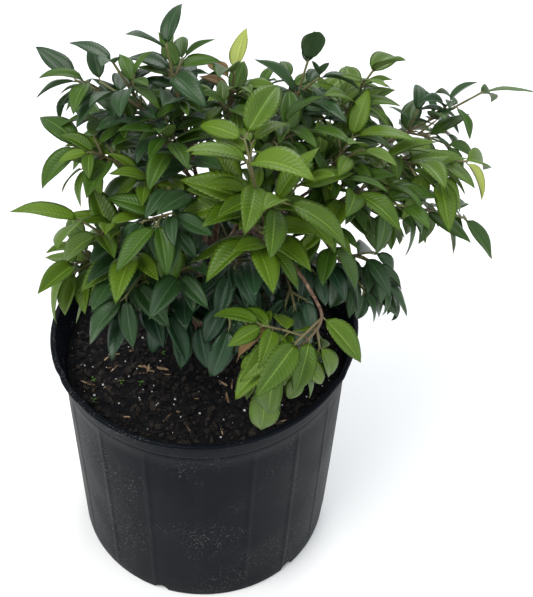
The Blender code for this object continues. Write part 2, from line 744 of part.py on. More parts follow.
def joins_in_pairs(mesh, weld):
    """Whether every edge joins two triangles once points in the same cell of a fine grid are one."""
    cells = {}
    corners = [cells.setdefault(tuple(round(c / weld) for c in v.co), len(cells)) for v in mesh.vertices]
    uses = Counter()
    for triangle in mesh.loop_triangles:
        ends = {corners[i] for i in triangle.vertices}
        if len(ends) == 3:
            uses.update(frozenset(pair) for pair in combinations(ends, 2))
    return all(count == 2 for count in uses.values())


def grow_foliage(limbs):
    """Every mass, in the order of the list."""
    space = Space(limbs)
    return [Mass(row, limbs, space) for row in MASSES]


clear_scene()
make_pot()
make_mix()
LIMBS = grow_limbs()
make_limbs(LIMBS)
FOLIAGE = grow_foliage(LIMBS)
for foliage_mass in FOLIAGE:
    make_mass(foliage_mass)
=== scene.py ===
"""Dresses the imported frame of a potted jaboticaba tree: pot, mix, bark, twigs and leaves."""

import json
import math
import random

import bmesh
import bpy
from mathutils import Matrix, Vector, noise
from mathutils.bvhtree import BVHTree

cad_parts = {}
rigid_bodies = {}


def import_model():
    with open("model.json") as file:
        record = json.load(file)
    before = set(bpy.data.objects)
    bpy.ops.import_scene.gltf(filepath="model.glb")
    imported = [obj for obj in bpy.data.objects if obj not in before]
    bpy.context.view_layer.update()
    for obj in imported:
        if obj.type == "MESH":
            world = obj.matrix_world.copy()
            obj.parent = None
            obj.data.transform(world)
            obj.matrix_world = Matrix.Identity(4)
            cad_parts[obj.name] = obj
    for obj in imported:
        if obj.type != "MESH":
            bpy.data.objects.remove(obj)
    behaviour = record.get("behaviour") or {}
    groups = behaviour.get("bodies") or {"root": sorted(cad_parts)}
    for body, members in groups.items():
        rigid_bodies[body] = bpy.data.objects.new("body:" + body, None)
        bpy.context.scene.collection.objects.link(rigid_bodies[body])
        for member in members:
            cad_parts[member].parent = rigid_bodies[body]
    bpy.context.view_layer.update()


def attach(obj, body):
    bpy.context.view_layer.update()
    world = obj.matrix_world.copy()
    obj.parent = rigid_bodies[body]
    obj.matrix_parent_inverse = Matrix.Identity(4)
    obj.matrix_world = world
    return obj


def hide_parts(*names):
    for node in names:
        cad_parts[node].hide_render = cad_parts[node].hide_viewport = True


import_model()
MM = 0.001
UP = Vector((0.0, 0.0, 1.0))
GAP = 0.3 * MM


def new_piece(name, points, faces, material, outward=True):
    """A smooth mesh object at the origin, with its faces turned outwards."""
    mesh = bpy.data.meshes.new(name)
    mesh.from_pydata([tuple(p) for p in points], [], faces)
    if outward:
        work = bmesh.new()
        work.from_mesh(mesh)
        bmesh.ops.recalc_face_normals(work, faces=work.faces)
        work.to_mesh(mesh)
        work.free()
    mesh.shade_smooth()
    mesh.materials.append(material)
    piece = bpy.data.objects.new(name, mesh)
    bpy.context.scene.collection.objects.link(piece)
    return piece


def settle(piece, nodes):
    """Let a piece ride on the part's one body, in place of some nodes."""
    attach(piece, "root")
    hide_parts(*nodes)


class Graph:
    """A node tree that is built call by call, where each call returns an output."""

    def __init__(self, tree):
        self.tree = tree

    def wire(self, socket, value):
        """Link a socket to an output, or set its constant."""
        if isinstance(value, bpy.types.NodeSocket):
            self.tree.links.new(value, socket)
        else:
            socket.default_value = value

    def add(self, kind, inputs=None, output=0, **settings):
        """Add a node, wire its inputs by name or number, and return one of its outputs."""
        node = self.tree.nodes.new(kind)
        for key, value in settings.items():
            setattr(node, key, value)
        for key, value in (inputs or {}).items():
            self.wire(node.inputs[key], value)
        return node.outputs[output]

    def math(self, operation, a, b=0.0, clamp=False):
        """One arithmetic step."""
        return self.add("ShaderNodeMath", {0: a, 1: b}, operation=operation, use_clamp=clamp)

    def scaled(self, value, factor):
        """A value times a factor."""
        return self.math("MULTIPLY", value, factor)

    def mix(self, factor, a, b):
        """A blend of two colours."""
        return self.add("ShaderNodeMix", {0: factor, 6: a, 7: b}, 2, data_type="RGBA")

    def noise(self, place, scale, detail=3.0):
        """Fractal noise from 0 to 1 at a scale in waves a metre."""
        return self.add("ShaderNodeTexNoise", {"Vector": place, "Scale": scale, "Detail": detail})

    def step(self, value, low, high):
        """A smooth step from 0 at low to 1 at high."""
        inputs = {"Value": value, "From Min": low, "From Max": high}
        return self.add("ShaderNodeMapRange", inputs, interpolation_type="SMOOTHSTEP")


class Material(Graph):
    """A material round one Principled shader."""

    def __init__(self, name):
        self.material = bpy.data.materials.new(name)
        self.material.use_nodes = True
        super().__init__(self.material.node_tree)
        self.shader = self.tree.nodes["Principled BSDF"]
        self.place = self.add("ShaderNodeTexCoord", output="Object")

    def finish(self, color, roughness, height=None, distance=0.0, strength=1.0, specular=0.5):
        """Wire the shader's colour, roughness and bump, and return the material."""
        self.wire(self.shader.inputs["Base Color"], color)
        self.wire(self.shader.inputs["Roughness"], roughness)
        self.wire(self.shader.inputs["Specular IOR Level"], specular)
        if height is not None:
            inputs = {"Height": height, "Distance": distance, "Strength": strength}
            self.wire(self.shader.inputs["Normal"], self.add("ShaderNodeBump", inputs))
        return self.material


# Pot
# A blown polyethylene nursery can: black, satin, with a rolled bead, a smooth band and upright ribs on
# its wall. It is one moulding, a little out of round, with a nub and two kinks at its rim, and six
# ragged drain holes through the corner of wall and floor.

POT_HEIGHT = 241 * MM
POT_WALL = 1.6 * MM
FLOOR_THICKNESS = 3 * MM
FOOT_RADIUS = 118.7 * MM
FOOT_ROUNDING = 2.5 * MM
SHOULDER_RADIUS = 123.5 * MM
BAND_HEIGHT = 24.8 * MM
BAND_STEP = 3 * MM
BAND_RADIUS = 126.5 * MM
NECK_RADIUS = 128.6 * MM
BEAD_CENTRE = (129.5 * MM, 238.5 * MM)
BEAD_ROUNDING = 2.5 * MM
BEAD_ARC = (-115, 180)
# Out of round: waves in a turn, their size, and where the first is widest in degrees
OVAL = ((2, 0.036, 62.6), (3, 0.008, 41.6))
OVAL_GROWTH = 1.5
POT_SIDES = 480
FLOOR_RING = 0.5 * FOOT_RADIUS
FOOT_ROWS = 4
WALL_ROWS = 16
BAND_ROWS = 24
BEAD_ROWS = 12
BAND_SLOPE = (0.6 * MM, 0.6)
INNER_POINTS = 4
RIBS = 18
RIB_HEIGHT = 0.7 * MM
RIB_WIDTH = math.radians(0.9)
RIB_FADE = (12 * MM, 6 * MM)
# Grooves round the band: height and depth
GROOVES = ((221.0 * MM, 0.35 * MM), (233.6 * MM, 0.5 * MM))
GROOVE_WIDTH = 0.9 * MM
DRAIN_COUNT = 6
DRAIN_FIRST = math.radians(-107)
DRAIN_INSET = 4 * MM
DRAIN_SIZE = (16 * MM, 15 * MM, 16 * MM)
DRAIN_RAGGED = (0.3, 6.0)
SHARP_ANGLE = math.radians(40)
# The rim's nub and kinks: place and width in degrees, and how far they stand out
RIM_MARKS = ((-27.0, 3.0, 1.3 * MM), (-150.0, 2.2, -1.2 * MM), (-134.0, 2.6, -0.9 * MM))
RIM_MARK_GROWTH = 3
POT_COLOR = (0.0025, 0.0038, 0.0062, 1)
POT_SCUFF = (0.008, 0.010, 0.014, 1)
POT_DUST = (0.16, 0.155, 0.145, 1)
# The pot's patterns in waves a metre
POT_WAVES = {"blotch": 22.0, "scuff": 70.0, "speck": 620.0, "patch": 16.0, "peel": 420.0}
POT_ROUGHNESS = (0.34, 0.24)
POT_SPECULAR = 0.055
PEEL_DEPTH = 0.2 * MM


def out_of_round(angle, height):
    """How much wider than round the pot is at an angle and a height."""
    fade = (height / POT_HEIGHT) ** OVAL_GROWTH
    waves = sum(size * math.cos(n * (angle - math.radians(turn))) for n, size, turn in OVAL)
    return 1.0 + fade * waves


def pot_profile():
    """The pot's outline from its foot round the bead and down inside, without the ends on the axis."""
    band_foot = POT_HEIGHT - BAND_HEIGHT
    outline = [(FLOOR_RING, 0.0), (FOOT_RADIUS - FOOT_ROUNDING, 0.0)]
    for i in range(1, FOOT_ROWS + 1):
        angle = math.pi / 2 * i / FOOT_ROWS
        out = FOOT_RADIUS - FOOT_ROUNDING * (1 - math.sin(angle))
        outline.append((out, FOOT_ROUNDING * (1 - math.cos(angle))))
    for i in range(1, WALL_ROWS + 1):
        t = i / WALL_ROWS
        out = FOOT_RADIUS + (SHOULDER_RADIUS - FOOT_RADIUS) * t
        outline.append((out, FOOT_ROUNDING + (band_foot - BAND_STEP - FOOT_ROUNDING) * t))
    outline.append((SHOULDER_RADIUS + BAND_SLOPE[0], band_foot - BAND_SLOPE[1] * BAND_STEP))
    outline.append((BAND_RADIUS, band_foot))
    for i in range(1, BAND_ROWS + 1):
        t = i / BAND_ROWS
        height = band_foot + (BEAD_CENTRE[1] - BEAD_ROUNDING - band_foot) * t
        cut = sum(depth * math.exp(-(((height - z) / GROOVE_WIDTH) ** 2)) for z, depth in GROOVES)
        outline.append((BAND_RADIUS + (NECK_RADIUS - BAND_RADIUS) * t - cut, height))
    for i in range(BEAD_ROWS + 1):
        angle = math.radians(BEAD_ARC[0] + (BEAD_ARC[1] - BEAD_ARC[0]) * i / BEAD_ROWS)
        out = BEAD_CENTRE[0] + BEAD_ROUNDING * math.cos(angle)
        outline.append((out, BEAD_CENTRE[1] + BEAD_ROUNDING * math.sin(angle)))
    outline += [
        (BAND_RADIUS - POT_WALL, band_foot + POT_WALL),
        (SHOULDER_RADIUS - POT_WALL, band_foot - BAND_STEP),
        (FOOT_RADIUS - POT_WALL, FLOOR_THICKNESS),
        (FLOOR_RING, FLOOR_THICKNESS),
    ]
    return outline


def pot_radius(radius, height, angle, is_outside):
    """Radius of the pot's skin with its ribs, and with the nub and kinks of its rim."""
    size = radius * out_of_round(angle, height)
    wall_top = POT_HEIGHT - BAND_HEIGHT - BAND_STEP
    if is_outside and FOOT_ROUNDING < height < wall_top:
        spacing = 2 * math.pi / RIBS
        off = angle % spacing - spacing / 2
        fade = min(1.0, (height - FOOT_ROUNDING) / RIB_FADE[0], (wall_top - height) / RIB_FADE[1])
        size += RIB_HEIGHT * fade * math.exp(-((off / RIB_WIDTH) ** 2))
    up_band = (height - POT_HEIGHT + BAND_HEIGHT) / BAND_HEIGHT
    if up_band > 0:
        for place, width, depth in RIM_MARKS:
            off = (math.degrees(angle) - place + 180) % 360 - 180
            size += depth * up_band**RIM_MARK_GROWTH * math.exp(-((off / width) ** 2))
    return size


def pot_surface():
    """Points and faces of the pot, turned from its outline and closed on the axis."""
    outline = pot_profile()
    rings = len(outline)
    points = []
    for k, (radius, height) in enumerate(outline):
        for i in range(POT_SIDES):
            angle = 2 * math.pi * i / POT_SIDES
            r = pot_radius(radius, height, angle, k < rings - INNER_POINTS)
            points.append((r * math.cos(angle), r * math.sin(angle), height))
    under = len(points)
    points += [(0, 0, 0), (0, 0, FLOOR_THICKNESS)]
    last = (rings - 1) * POT_SIDES
    faces = []
    for i in range(POT_SIDES):
        j = (i + 1) % POT_SIDES
        faces.append((under, j, i))
        faces.append((last + i, last + j, under + 1))
        for a in range(0, last, POT_SIDES):
            faces.append((a + i, a + j, a + POT_SIDES + j, a + POT_SIDES + i))
    return points, faces


def pot_material():
    """Black plastic with soft scuffs, pale dust and a fine orange peel."""
    look = Material("pot_plastic_black")
    blotch = look.noise(look.place, POT_WAVES["blotch"], 5.0)
    scuff = look.step(look.noise(look.place, POT_WAVES["scuff"], 6.0), 0.56, 0.78)
    speck = look.step(look.noise(look.place, POT_WAVES["speck"], 2.0), 0.61, 0.69)
    patch = look.step(look.noise(look.place, POT_WAVES["patch"], 3.0), 0.42, 0.62)
    dust = look.scaled(look.scaled(speck, patch), 0.55)
    color = look.mix(look.scaled(scuff, 0.35), POT_COLOR, POT_SCUFF)
    color = look.mix(dust, color, POT_DUST)
    roughness = look.math("ADD", POT_ROUGHNESS[0], look.scaled(blotch, POT_ROUGHNESS[1]))
    peel = look.math("ADD", look.noise(look.place, POT_WAVES["peel"], 4.0), look.scaled(blotch, 2.0))
    return look.finish(color, roughness, peel, PEEL_DEPTH, 0.4, POT_SPECULAR)


def drain_cutter(i, material):
    """A ragged ball on the corner of wall and floor, which cuts one drain hole."""
    size, scale = DRAIN_RAGGED
    work = bmesh.new()
    bmesh.ops.create_icosphere(work, subdivisions=3, radius=0.5)
    for vert in work.verts:
        vert.co *= 1.0 + size * noise.noise(vert.co * scale + Vector((i, 0, 0)))
    turn = Matrix.Rotation(DRAIN_FIRST + 2 * math.pi * i / DRAIN_COUNT, 4, "Z")
    place = Matrix.Translation((FOOT_RADIUS - DRAIN_INSET, 0, 0)) @ Matrix.Diagonal((*DRAIN_SIZE, 1.0))
    bmesh.ops.transform(work, matrix=turn @ place, verts=work.verts)
    cutter = new_piece(f"drain_{i}", [], [], material, False)
    work.to_mesh(cutter.data)
    work.free()
    return cutter


def bake_modifiers(thing):
    """Replace an object's mesh by what its modifiers make of it."""
    graph = bpy.context.evaluated_depsgraph_get()
    mesh = bpy.data.meshes.new_from_object(thing.evaluated_get(graph))
    thing.modifiers.clear()
    thing.data = mesh


def make_pot():
    """The pot, with its drain holes cut."""
    plastic = pot_material()
    pot = new_piece("pot_can", *pot_surface(), plastic)
    cutters = [drain_cutter(i, plastic) for i in range(DRAIN_COUNT)]
    for cutter in cutters:
        cut = pot.modifiers.new("drain", "BOOLEAN")
        cut.operation = "DIFFERENCE"
        cut.solver = "MANIFOLD"
        cut.object = cutter
    bake_modifiers(pot)
    for cutter in cutters:
        bpy.data.objects.remove(cutter, do_unlink=True)
    pot.data.shade_smooth()
    pot.data.set_sharp_from_angle(angle=SHARP_ANGLE)
    settle(pot, ["pot"])


make_pot()


# Potting mix
# Dark, damp peat and composted bark, loose and lumpy, filled to below the band and highest round the
# trunk. Bark chips, pale wood slivers, white perlite and a few seedlings lie on top of it.

MIX_HEIGHT = 213 * MM
MIX_EDGE_DROP = 4 * MM
MIX_CLEARANCE = 0.5 * MM
MIX_SIDES = 160
MIX_RINGS = 56
MIX_LUMPS = ((38.0, 1.9 * MM), (110.0, 1.1 * MM), (330.0, 0.6 * MM))
MIX_SEED = 5
MIX_SPECULAR = 0.12
BROWN = (0.030, 0.024, 0.020, 1)
BLACK = (0.0045, 0.0047, 0.0055, 1)
# Looks: dark and light colour, mottling in waves a metre, roughness, grain in waves a metre, its depth
MIX_LOOKS = {
    "peat": ((0.0028, 0.0031, 0.0040, 1), (0.0075, 0.0075, 0.0085, 1), 160, 0.92, 900, 1.2 * MM),
    "bark_crumb": (BLACK, BROWN, 240, 0.85, 700, 0.5 * MM),
    "bark_chip": (BLACK, BROWN, 130, 0.80, 500, 0.7 * MM),
    "wood_sliver": ((0.10, 0.062, 0.036, 1), (0.36, 0.25, 0.15, 1), 90, 0.75, 600, 0.3 * MM),
    "perlite": ((0.50, 0.49, 0.47, 1), (0.72, 0.71, 0.68, 1), 300, 0.90, 900, 0.3 * MM),
    "seedling_leaf": ((0.05, 0.12, 0.02, 1), (0.10, 0.20, 0.035, 1), 200, 0.50, 600, 0.1 * MM),
}
# Litter: its look, margin that it leaves by the pot, pieces a square metre, least and greatest size,
# lean in radians, seed
LITTER = {
    "mix_crumbs": ("bark_crumb", 3 * MM, 62000, 0.60, 1.20, 0.70, 3),
    "mix_chips": ("bark_chip", 7 * MM, 11000, 0.55, 1.15, 0.50, 11),
    "mix_slivers": ("wood_sliver", 13 * MM, 1500, 0.50, 1.10, 0.35, 17),
    "mix_perlite": ("perlite", 2 * MM, 3600, 0.35, 1.05, 3.00, 23),
    "mix_seedlings": ("seedling_leaf", 6 * MM, 420, 0.60, 1.00, 0.25, 29),
}
# Bark chips: length, width and thickness in mm
CHIPS = ((9, 6, 1.8), (12, 6, 2.2), (14, 7, 2), (10, 5, 1.6), (8, 7, 2.2))
CHIP_CORNERS = 7
CHIP_UNEVEN = (0.75, 1.1)
CHIP_THINNEST = 0.5
CHIP_FOOT = 0.95
GRAIN_SIZE = 2.4 * MM
GRAIN_UNEVEN = (0.7, 1.1)
# A seedling's stalk in section, in mm, and one leaf of it: places along, across and up in leaf lengths
STALK = ((-0.3, -0.2), (0.3, -0.2), (0.0, 0.35))
STALK_TAPER = 0.6
SEED_LEAF = ((0, 0, 0), (0.5, 0.22, 0.16), (1, 0, 0.1), (0.5, -0.22, 0.16), (0.5, 0, 0.22), (0.5, 0, 0.10))


def mix_wall(height):
    """Radius of the pot's inner wall at a height, less the clearance."""
    low = FOOT_RADIUS - POT_WALL
    high = SHOULDER_RADIUS - POT_WALL
    top = POT_HEIGHT - BAND_HEIGHT - BAND_STEP
    return low + (high - low) * (height - FLOOR_THICKNESS) / (top - FLOOR_THICKNESS) - MIX_CLEARANCE


def mix_surface():
    """Points and faces of the mix: a lumpy top, a plain side and a flat foot."""
    edge_height = MIX_HEIGHT - MIX_EDGE_DROP
    foot_height = FLOOR_THICKNESS + GAP
    points = [Vector((0, 0, MIX_HEIGHT))]
    for k in range(1, MIX_RINGS + 1):
        share = k / MIX_RINGS
        height = edge_height + MIX_EDGE_DROP * (1 - share**2)
        for i in range(MIX_SIDES):
            angle = 2 * math.pi * i / MIX_SIDES
            r = mix_wall(edge_height) * share * out_of_round(angle, edge_height)
            place = Vector((r * math.cos(angle), r * math.sin(angle), height))
            rise = sum(size * noise.noise(place * scale) for scale, size in MIX_LUMPS)
            points.append(place + UP * rise)
    for i in range(MIX_SIDES):
        angle = 2 * math.pi * i / MIX_SIDES
        r = mix_wall(foot_height) * out_of_round(angle, foot_height)
        points.append(Vector((r * math.cos(angle), r * math.sin(angle), foot_height)))
    points.append(Vector((0, 0, foot_height)))
    faces = []
    for i in range(MIX_SIDES):
        j = (i + 1) % MIX_SIDES
        faces.append((0, 1 + i, 1 + j))
        for k in range(MIX_RINGS):
            a = 1 + k * MIX_SIDES
            faces.append((a + i, a + MIX_SIDES + i, a + MIX_SIDES + j, a + j))
        a = 1 + MIX_RINGS * MIX_SIDES
        faces.append((a + i, len(points) - 1, a + j))
    return points, faces


def mottled(name):
    """A rough material of the mix that varies between two colours from place to place."""
    dark, light, scale, roughness, grain_scale, depth = MIX_LOOKS[name]
    look = Material(name)
    blend = look.step(look.noise(look.place, scale, 4.0), 0.38, 0.66)
    grain = look.noise(look.place, grain_scale, 6.0)
    return look.finish(look.mix(blend, dark, light), roughness, grain, depth, 0.8, MIX_SPECULAR)


def slab(dice, length, width, thickness):
    """A chip: an uneven flat prism, broken at its ends."""
    count = CHIP_CORNERS
    rim = []
    for i in range(count):
        angle = 2 * math.pi * i / count
        r = dice.uniform(*CHIP_UNEVEN)
        rim.append((length / 2 * r * math.cos(angle), width / 2 * r * math.sin(angle)))
    points = [(x, y, thickness / 2 * dice.uniform(CHIP_THINNEST, 1.0)) for x, y in rim]
    points += [(x * CHIP_FOOT, y * CHIP_FOOT, -thickness / 2) for x, y in rim]
    faces = [tuple(range(count)), tuple(reversed(range(count, 2 * count)))]
    faces += [(i, i + count, (i + 1) % count + count, (i + 1) % count) for i in range(count)]
    return points, faces


def grain_ball(dice):
    """A perlite grain: an uneven ball."""
    work = bmesh.new()
    bmesh.ops.create_icosphere(work, subdivisions=1, radius=GRAIN_SIZE / 2)
    points = [tuple(vert.co * dice.uniform(*GRAIN_UNEVEN)) for vert in work.verts]
    faces = [tuple(vert.index for vert in face.verts) for face in work.faces]
    work.free()
    return points, faces


def seedling(dice, height):
    """A seedling: a thin upright stalk with two small pairs of leaves."""
    points = []
    for x, y in STALK:
        points += [(x * MM, y * MM, 0), (x * STALK_TAPER * MM, y * STALK_TAPER * MM, height)]
    faces = [(0, 2, 3, 1), (2, 4, 5, 3), (4, 0, 1, 5), (0, 4, 2), (1, 3, 5)]
    for i in range(4):
        turn = Matrix.Rotation(math.pi * i + (i // 2) * math.pi / 2 + dice.uniform(-0.4, 0.4), 3, "Z")
        length = height * dice.uniform(0.45, 0.7)
        level = height * (0.98 if i < 2 else 0.6)
        first = len(points)
        points += [turn @ Vector(place) * length + UP * level for place in SEED_LEAF]
        for a, b in ((0, 3), (3, 2), (2, 1), (1, 0)):
            faces += [(first + a, first + b, first + 4), (first + b, first + a, first + 5)]
    return points, faces


def open_mix(margin):
    """The top of the mix, no nearer to the pot than a margin."""
    points, faces = mix_surface()
    rings = MIX_RINGS - math.ceil(margin * MIX_RINGS / mix_wall(MIX_HEIGHT))
    return points, [face for face in faces if max(face) <= rings * MIX_SIDES]


def litter_tree(name, kinds, material):
    """A node tree that lies copies of the shapes in a collection on its mesh."""
    tree = bpy.data.node_groups.new(name, "GeometryNodeTree")
    build = Graph(tree)
    tree.interface.new_socket("Geometry", in_out="INPUT", socket_type="NodeSocketGeometry")
    tree.interface.new_socket("Seed", in_out="INPUT", socket_type="NodeSocketInt")
    for label in ("Density", "Smallest", "Largest", "Lean"):
        tree.interface.new_socket(label, in_out="INPUT", socket_type="NodeSocketFloat")
    tree.interface.new_socket("Geometry", in_out="OUTPUT", socket_type="NodeSocketGeometry")
    given = tree.nodes.new("NodeGroupInput").outputs
    seed = given["Seed"]
    inputs = {"Mesh": given["Geometry"], "Density": given["Density"], "Seed": seed}
    points = build.add("GeometryNodeDistributePointsOnFaces", inputs)
    shape = build.add("GeometryNodeCollectionInfo", {"Collection": kinds, "Separate Children": True})
    back = build.scaled(given["Lean"], -1.0)
    low = build.add("ShaderNodeCombineXYZ", {0: back, 1: back, 2: 0.0})
    high = build.add("ShaderNodeCombineXYZ", {0: given["Lean"], 1: given["Lean"], 2: 2 * math.pi})
    inputs = {0: low, 1: high, "Seed": seed}
    turn = build.add("FunctionNodeRandomValue", inputs, data_type="FLOAT_VECTOR")
    size = build.add("FunctionNodeRandomValue", {2: given["Smallest"], 3: given["Largest"], "Seed": seed}, 1)
    inputs = {"Points": points, "Instance": shape, "Pick Instance": True, "Rotation": turn, "Scale": size}
    copies = build.add("GeometryNodeInstanceOnPoints", inputs)
    solid = build.add("GeometryNodeRealizeInstances", {"Geometry": copies})
    painted = build.add("GeometryNodeSetMaterial", {"Geometry": solid, "Material": material})
    build.wire(tree.nodes.new("NodeGroupOutput").inputs[0], painted)
    return tree


def scatter(name, shapes):
    """Lay copies of some shapes on the mix, as one plain mesh."""
    look, margin, density, smallest, largest, lean, seed = LITTER[name]
    material = mottled(look)
    scene = bpy.context.scene
    kinds = bpy.data.collections.new(f"{name}_shapes")
    scene.collection.children.link(kinds)
    for i, shape in enumerate(shapes):
        thing = new_piece(f"{name}_shape_{i}", *shape, material)
        thing.data.shade_flat()
        scene.collection.objects.unlink(thing)
        kinds.objects.link(thing)
    piece = new_piece(name, *open_mix(margin), material, False)
    lay = piece.modifiers.new("scatter", "NODES")
    lay.node_group = litter_tree(name, kinds, material)
    values = {"Density": density, "Seed": seed, "Smallest": smallest, "Largest": largest, "Lean": lean}
    for socket in lay.node_group.interface.items_tree:
        if socket.in_out == "INPUT" and socket.name in values:
            lay[socket.identifier] = values[socket.name]
    bake_modifiers(piece)
    for thing in list(kinds.objects):
        bpy.data.objects.remove(thing, do_unlink=True)
    bpy.data.collections.remove(kinds)
    settle(piece, ["potting_mix"])


def make_mix():
    """The mix and all that lies on it."""
    settle(new_piece("mix_body", *mix_surface(), mottled("peat")), ["potting_mix"])
    dice = random.Random(MIX_SEED)

    def some_slabs(count, length, width, thickness):
        """Slabs of about a size, in mm."""
        return [
            slab(dice, dice.uniform(*length) * MM, dice.uniform(*width) * MM, thickness * MM)
            for _ in range(count)
        ]

    scatter("mix_crumbs", some_slabs(5, (3, 6), (2, 4), 1.2))
    scatter("mix_chips", [slab(dice, *(value * MM for value in size)) for size in CHIPS])
    scatter("mix_slivers", some_slabs(4, (13, 24), (1.4, 2.6), 1.1))
    scatter("mix_perlite", [grain_ball(dice) for _ in range(4)])
    scatter("mix_seedlings", [seedling(dice, dice.uniform(5, 8) * MM) for _ in range(3)])


make_mix()


# Trunk and boughs
# Thin reddish-brown bark that flakes to tan, with fine furrows and a slight ring at each old node.
# The trunk rises from a small root flare in the mix; each bough grows out of its parent by a collar.

TRUNK_FOOT = Vector((-6, 4, 213.3)) * MM
TRUNK_BEND_LOW = Vector((-6, 4, 262)) * MM
TRUNK_BEND_HIGH = Vector((2, -2, 320)) * MM
TRUNK_FORK = Vector((31, 8, 338)) * MM
TRUNK_FOOT_RADIUS = 7.2 * MM
TRUNK_FORK_RADIUS = 4.4 * MM
FLARE_RADIUS = 5.5 * MM
FLARE_HEIGHT = 9 * MM
FLARE_ROOTS = 4
FLARE_RIDGE = 0.25
TRUNK_SIDES = 12
TRUNK_STEPS = 9
# Boughs: name, what it grows from, how far along that, tip in mm, rise, root and tip radius in mm
BOUGHS = (
    ("bough_leader", "trunk", 0.62, (-9, 4, 384), 0.05, 3.4, 1.6),
    ("bough_left", "trunk", 0.46, (-48, -34, 340), 0.30, 3.0, 1.5),
    ("bough_right", "trunk", 1.00, (104, 16, 354), 0.22, 3.9, 1.6),
    ("bough_front", "trunk", 0.87, (41, -32, 366), 0.30, 2.8, 1.5),
    ("bough_top", "trunk", 0.80, (46, 28, 382), 0.10, 2.8, 1.5),
    ("bough_back", "trunk", 0.55, (8, 48, 346), 0.30, 2.9, 1.5),
    ("bough_low_left", "trunk", 0.28, (-26, -20, 290), 0.35, 2.3, 1.3),
    ("bough_low_centre", "trunk", 0.70, (12, -28, 334), 0.35, 2.2, 1.3),
    ("bough_low_back", "trunk", 0.34, (14, 34, 290), 0.35, 2.3, 1.3),
    ("bough_back_left", "bough_back", 0.40, (-32, 40, 350), 0.20, 2.1, 1.3),
    ("bough_back_right", "bough_right", 0.30, (70, 54, 362), 0.20, 2.3, 1.3),
    ("bough_left_hang", "bough_left", 0.62, (-62, -26, 322), 0.15, 1.9, 1.2),
    ("bough_top_left", "bough_leader", 0.86, (-22, 0, 402), 0.10, 1.8, 1.2),
    ("bough_left_mid", "bough_leader", 0.42, (-34, -8, 380), 0.15, 2.0, 1.2),
    ("bough_left_high", "bough_leader", 0.70, (-30, 20, 404), 0.15, 1.9, 1.2),
    ("bough_centre_left", "bough_leader", 0.22, (-20, -26, 366), 0.20, 2.0, 1.2),
    ("bough_top_centre", "bough_top", 0.36, (14, 18, 396), -0.10, 1.9, 1.2),
    ("bough_top_right", "bough_top", 0.62, (74, 40, 384), 0.15, 1.8, 1.2),
    ("bough_front_fall", "bough_front", 0.50, (80, -108, 364), 0.55, 1.7, 1.1),
    ("bough_low_right", "bough_right", 0.16, (54, -22, 336), 0.25, 2.0, 1.2),
    ("bough_right_mid", "bough_right", 0.36, (72, -8, 366), 0.10, 2.0, 1.2),
    ("bough_right_low", "bough_right", 0.58, (96, -16, 336), 0.15, 1.9, 1.2),
    ("bough_right_far", "bough_right", 0.74, (108, 26, 376), 0.10, 1.8, 1.2),
    ("bough_right_back", "bough_right", 0.54, (112, 58, 366), 0.20, 1.9, 1.2),
    ("bough_middle", "bough_top", 0.24, (36, 4, 392), 0.00, 1.9, 1.2),
    ("bough_inner_right", "bough_right", 0.24, (74, 2, 378), 0.10, 1.9, 1.2),
    ("bough_inner_left", "bough_left", 0.34, (-26, -40, 330), 0.20, 1.9, 1.2),
)
BOUGH_SIDES = 6
BOUGH_STEPS = 5
LENGTH_STEPS = 8
BARK_STEP = 1.3 * MM
TRUNK_BARK_SIDES = 40
BOUGH_BARK_SIDES = 14
COLLAR_HEIGHT = 4.5 * MM
COLLAR_SHARE = 0.45
NODE_RING_SPACING = 15 * MM
NODE_RING_WIDTH = 1.2 * MM
NODE_RING_SHARE = 0.10
# Bark relief: waves a metre across and along, and lift as a share of the radius
FURROWS = (900, 160, 0.05)
FLAKES = (330, 330, 0.07)
BARK_GRAIN = 900.0
BARK_PATCHES = 130.0
BARK_DARK = (0.055, 0.030, 0.020, 1)
BARK_BROWN = (0.145, 0.082, 0.052, 1)
BARK_TAN = (0.30, 0.20, 0.135, 1)


class Limb:
    """A bent, tapering limb: a cubic Bezier centre line and its radius along it."""

    def __init__(self, points, root_radius, tip_radius, sides, steps):
        self.points = [Vector(p) for p in points]
        self.root_radius = root_radius
        self.tip_radius = tip_radius
        self.sides = sides
        self.steps = steps

    def point(self, t):
        """Place on the centre line, from 0 at the root to 1 at the tip."""
        a, b, c, d = self.points
        s = 1 - t
        return a * s**3 + b * (3 * s * s * t) + c * (3 * s * t * t) + d * t**3

    def direction(self, t):
        """Unit direction of growth."""
        a, b, c, d = self.points
        s = 1 - t
        return ((b - a) * (s * s) + (c - b) * (2 * s * t) + (d - c) * (t * t)).normalized()

    def radius(self, t):
        """Radius of the limb."""
        return self.root_radius + (self.tip_radius - self.root_radius) * t

    def length(self):
        """Length along the centre line."""
        places = [self.point(i / LENGTH_STEPS) for i in range(LENGTH_STEPS + 1)]
        return sum((q - p).length for p, q in zip(places, places[1:]))

    def tube(self, grow=0.0, first=0.0, last=1.0, sides=None, steps=None):
        """Points and faces of the limb's skin, with flat ends, from one place to another along it."""
        sides = sides or self.sides
        steps = steps or self.steps
        points = []
        side = None
        for k in range(steps + 1):
            t = first + (last - first) * k / steps
            along = self.direction(t)
            side = side or along.orthogonal()
            side = (side - along * side.dot(along)).normalized()
            other = along.cross(side)
            for i in range(sides):
                angle = 2 * math.pi * i / sides
                r = self.skin_radius(t, angle) + grow
                points.append(self.point(t) + (side * math.cos(angle) + other * math.sin(angle)) * r)
        faces = [tuple(reversed(range(sides))), tuple(range(steps * sides, steps * sides + sides))]
        for k in range(steps):
            for i in range(sides):
                j = (i + 1) % sides
                a = k * sides
                faces.append((a + i, a + j, a + sides + j, a + sides + i))
        return points, faces

    def skin_radius(self, t, angle):
        """Radius at one place on the skin."""
        return self.radius(t)


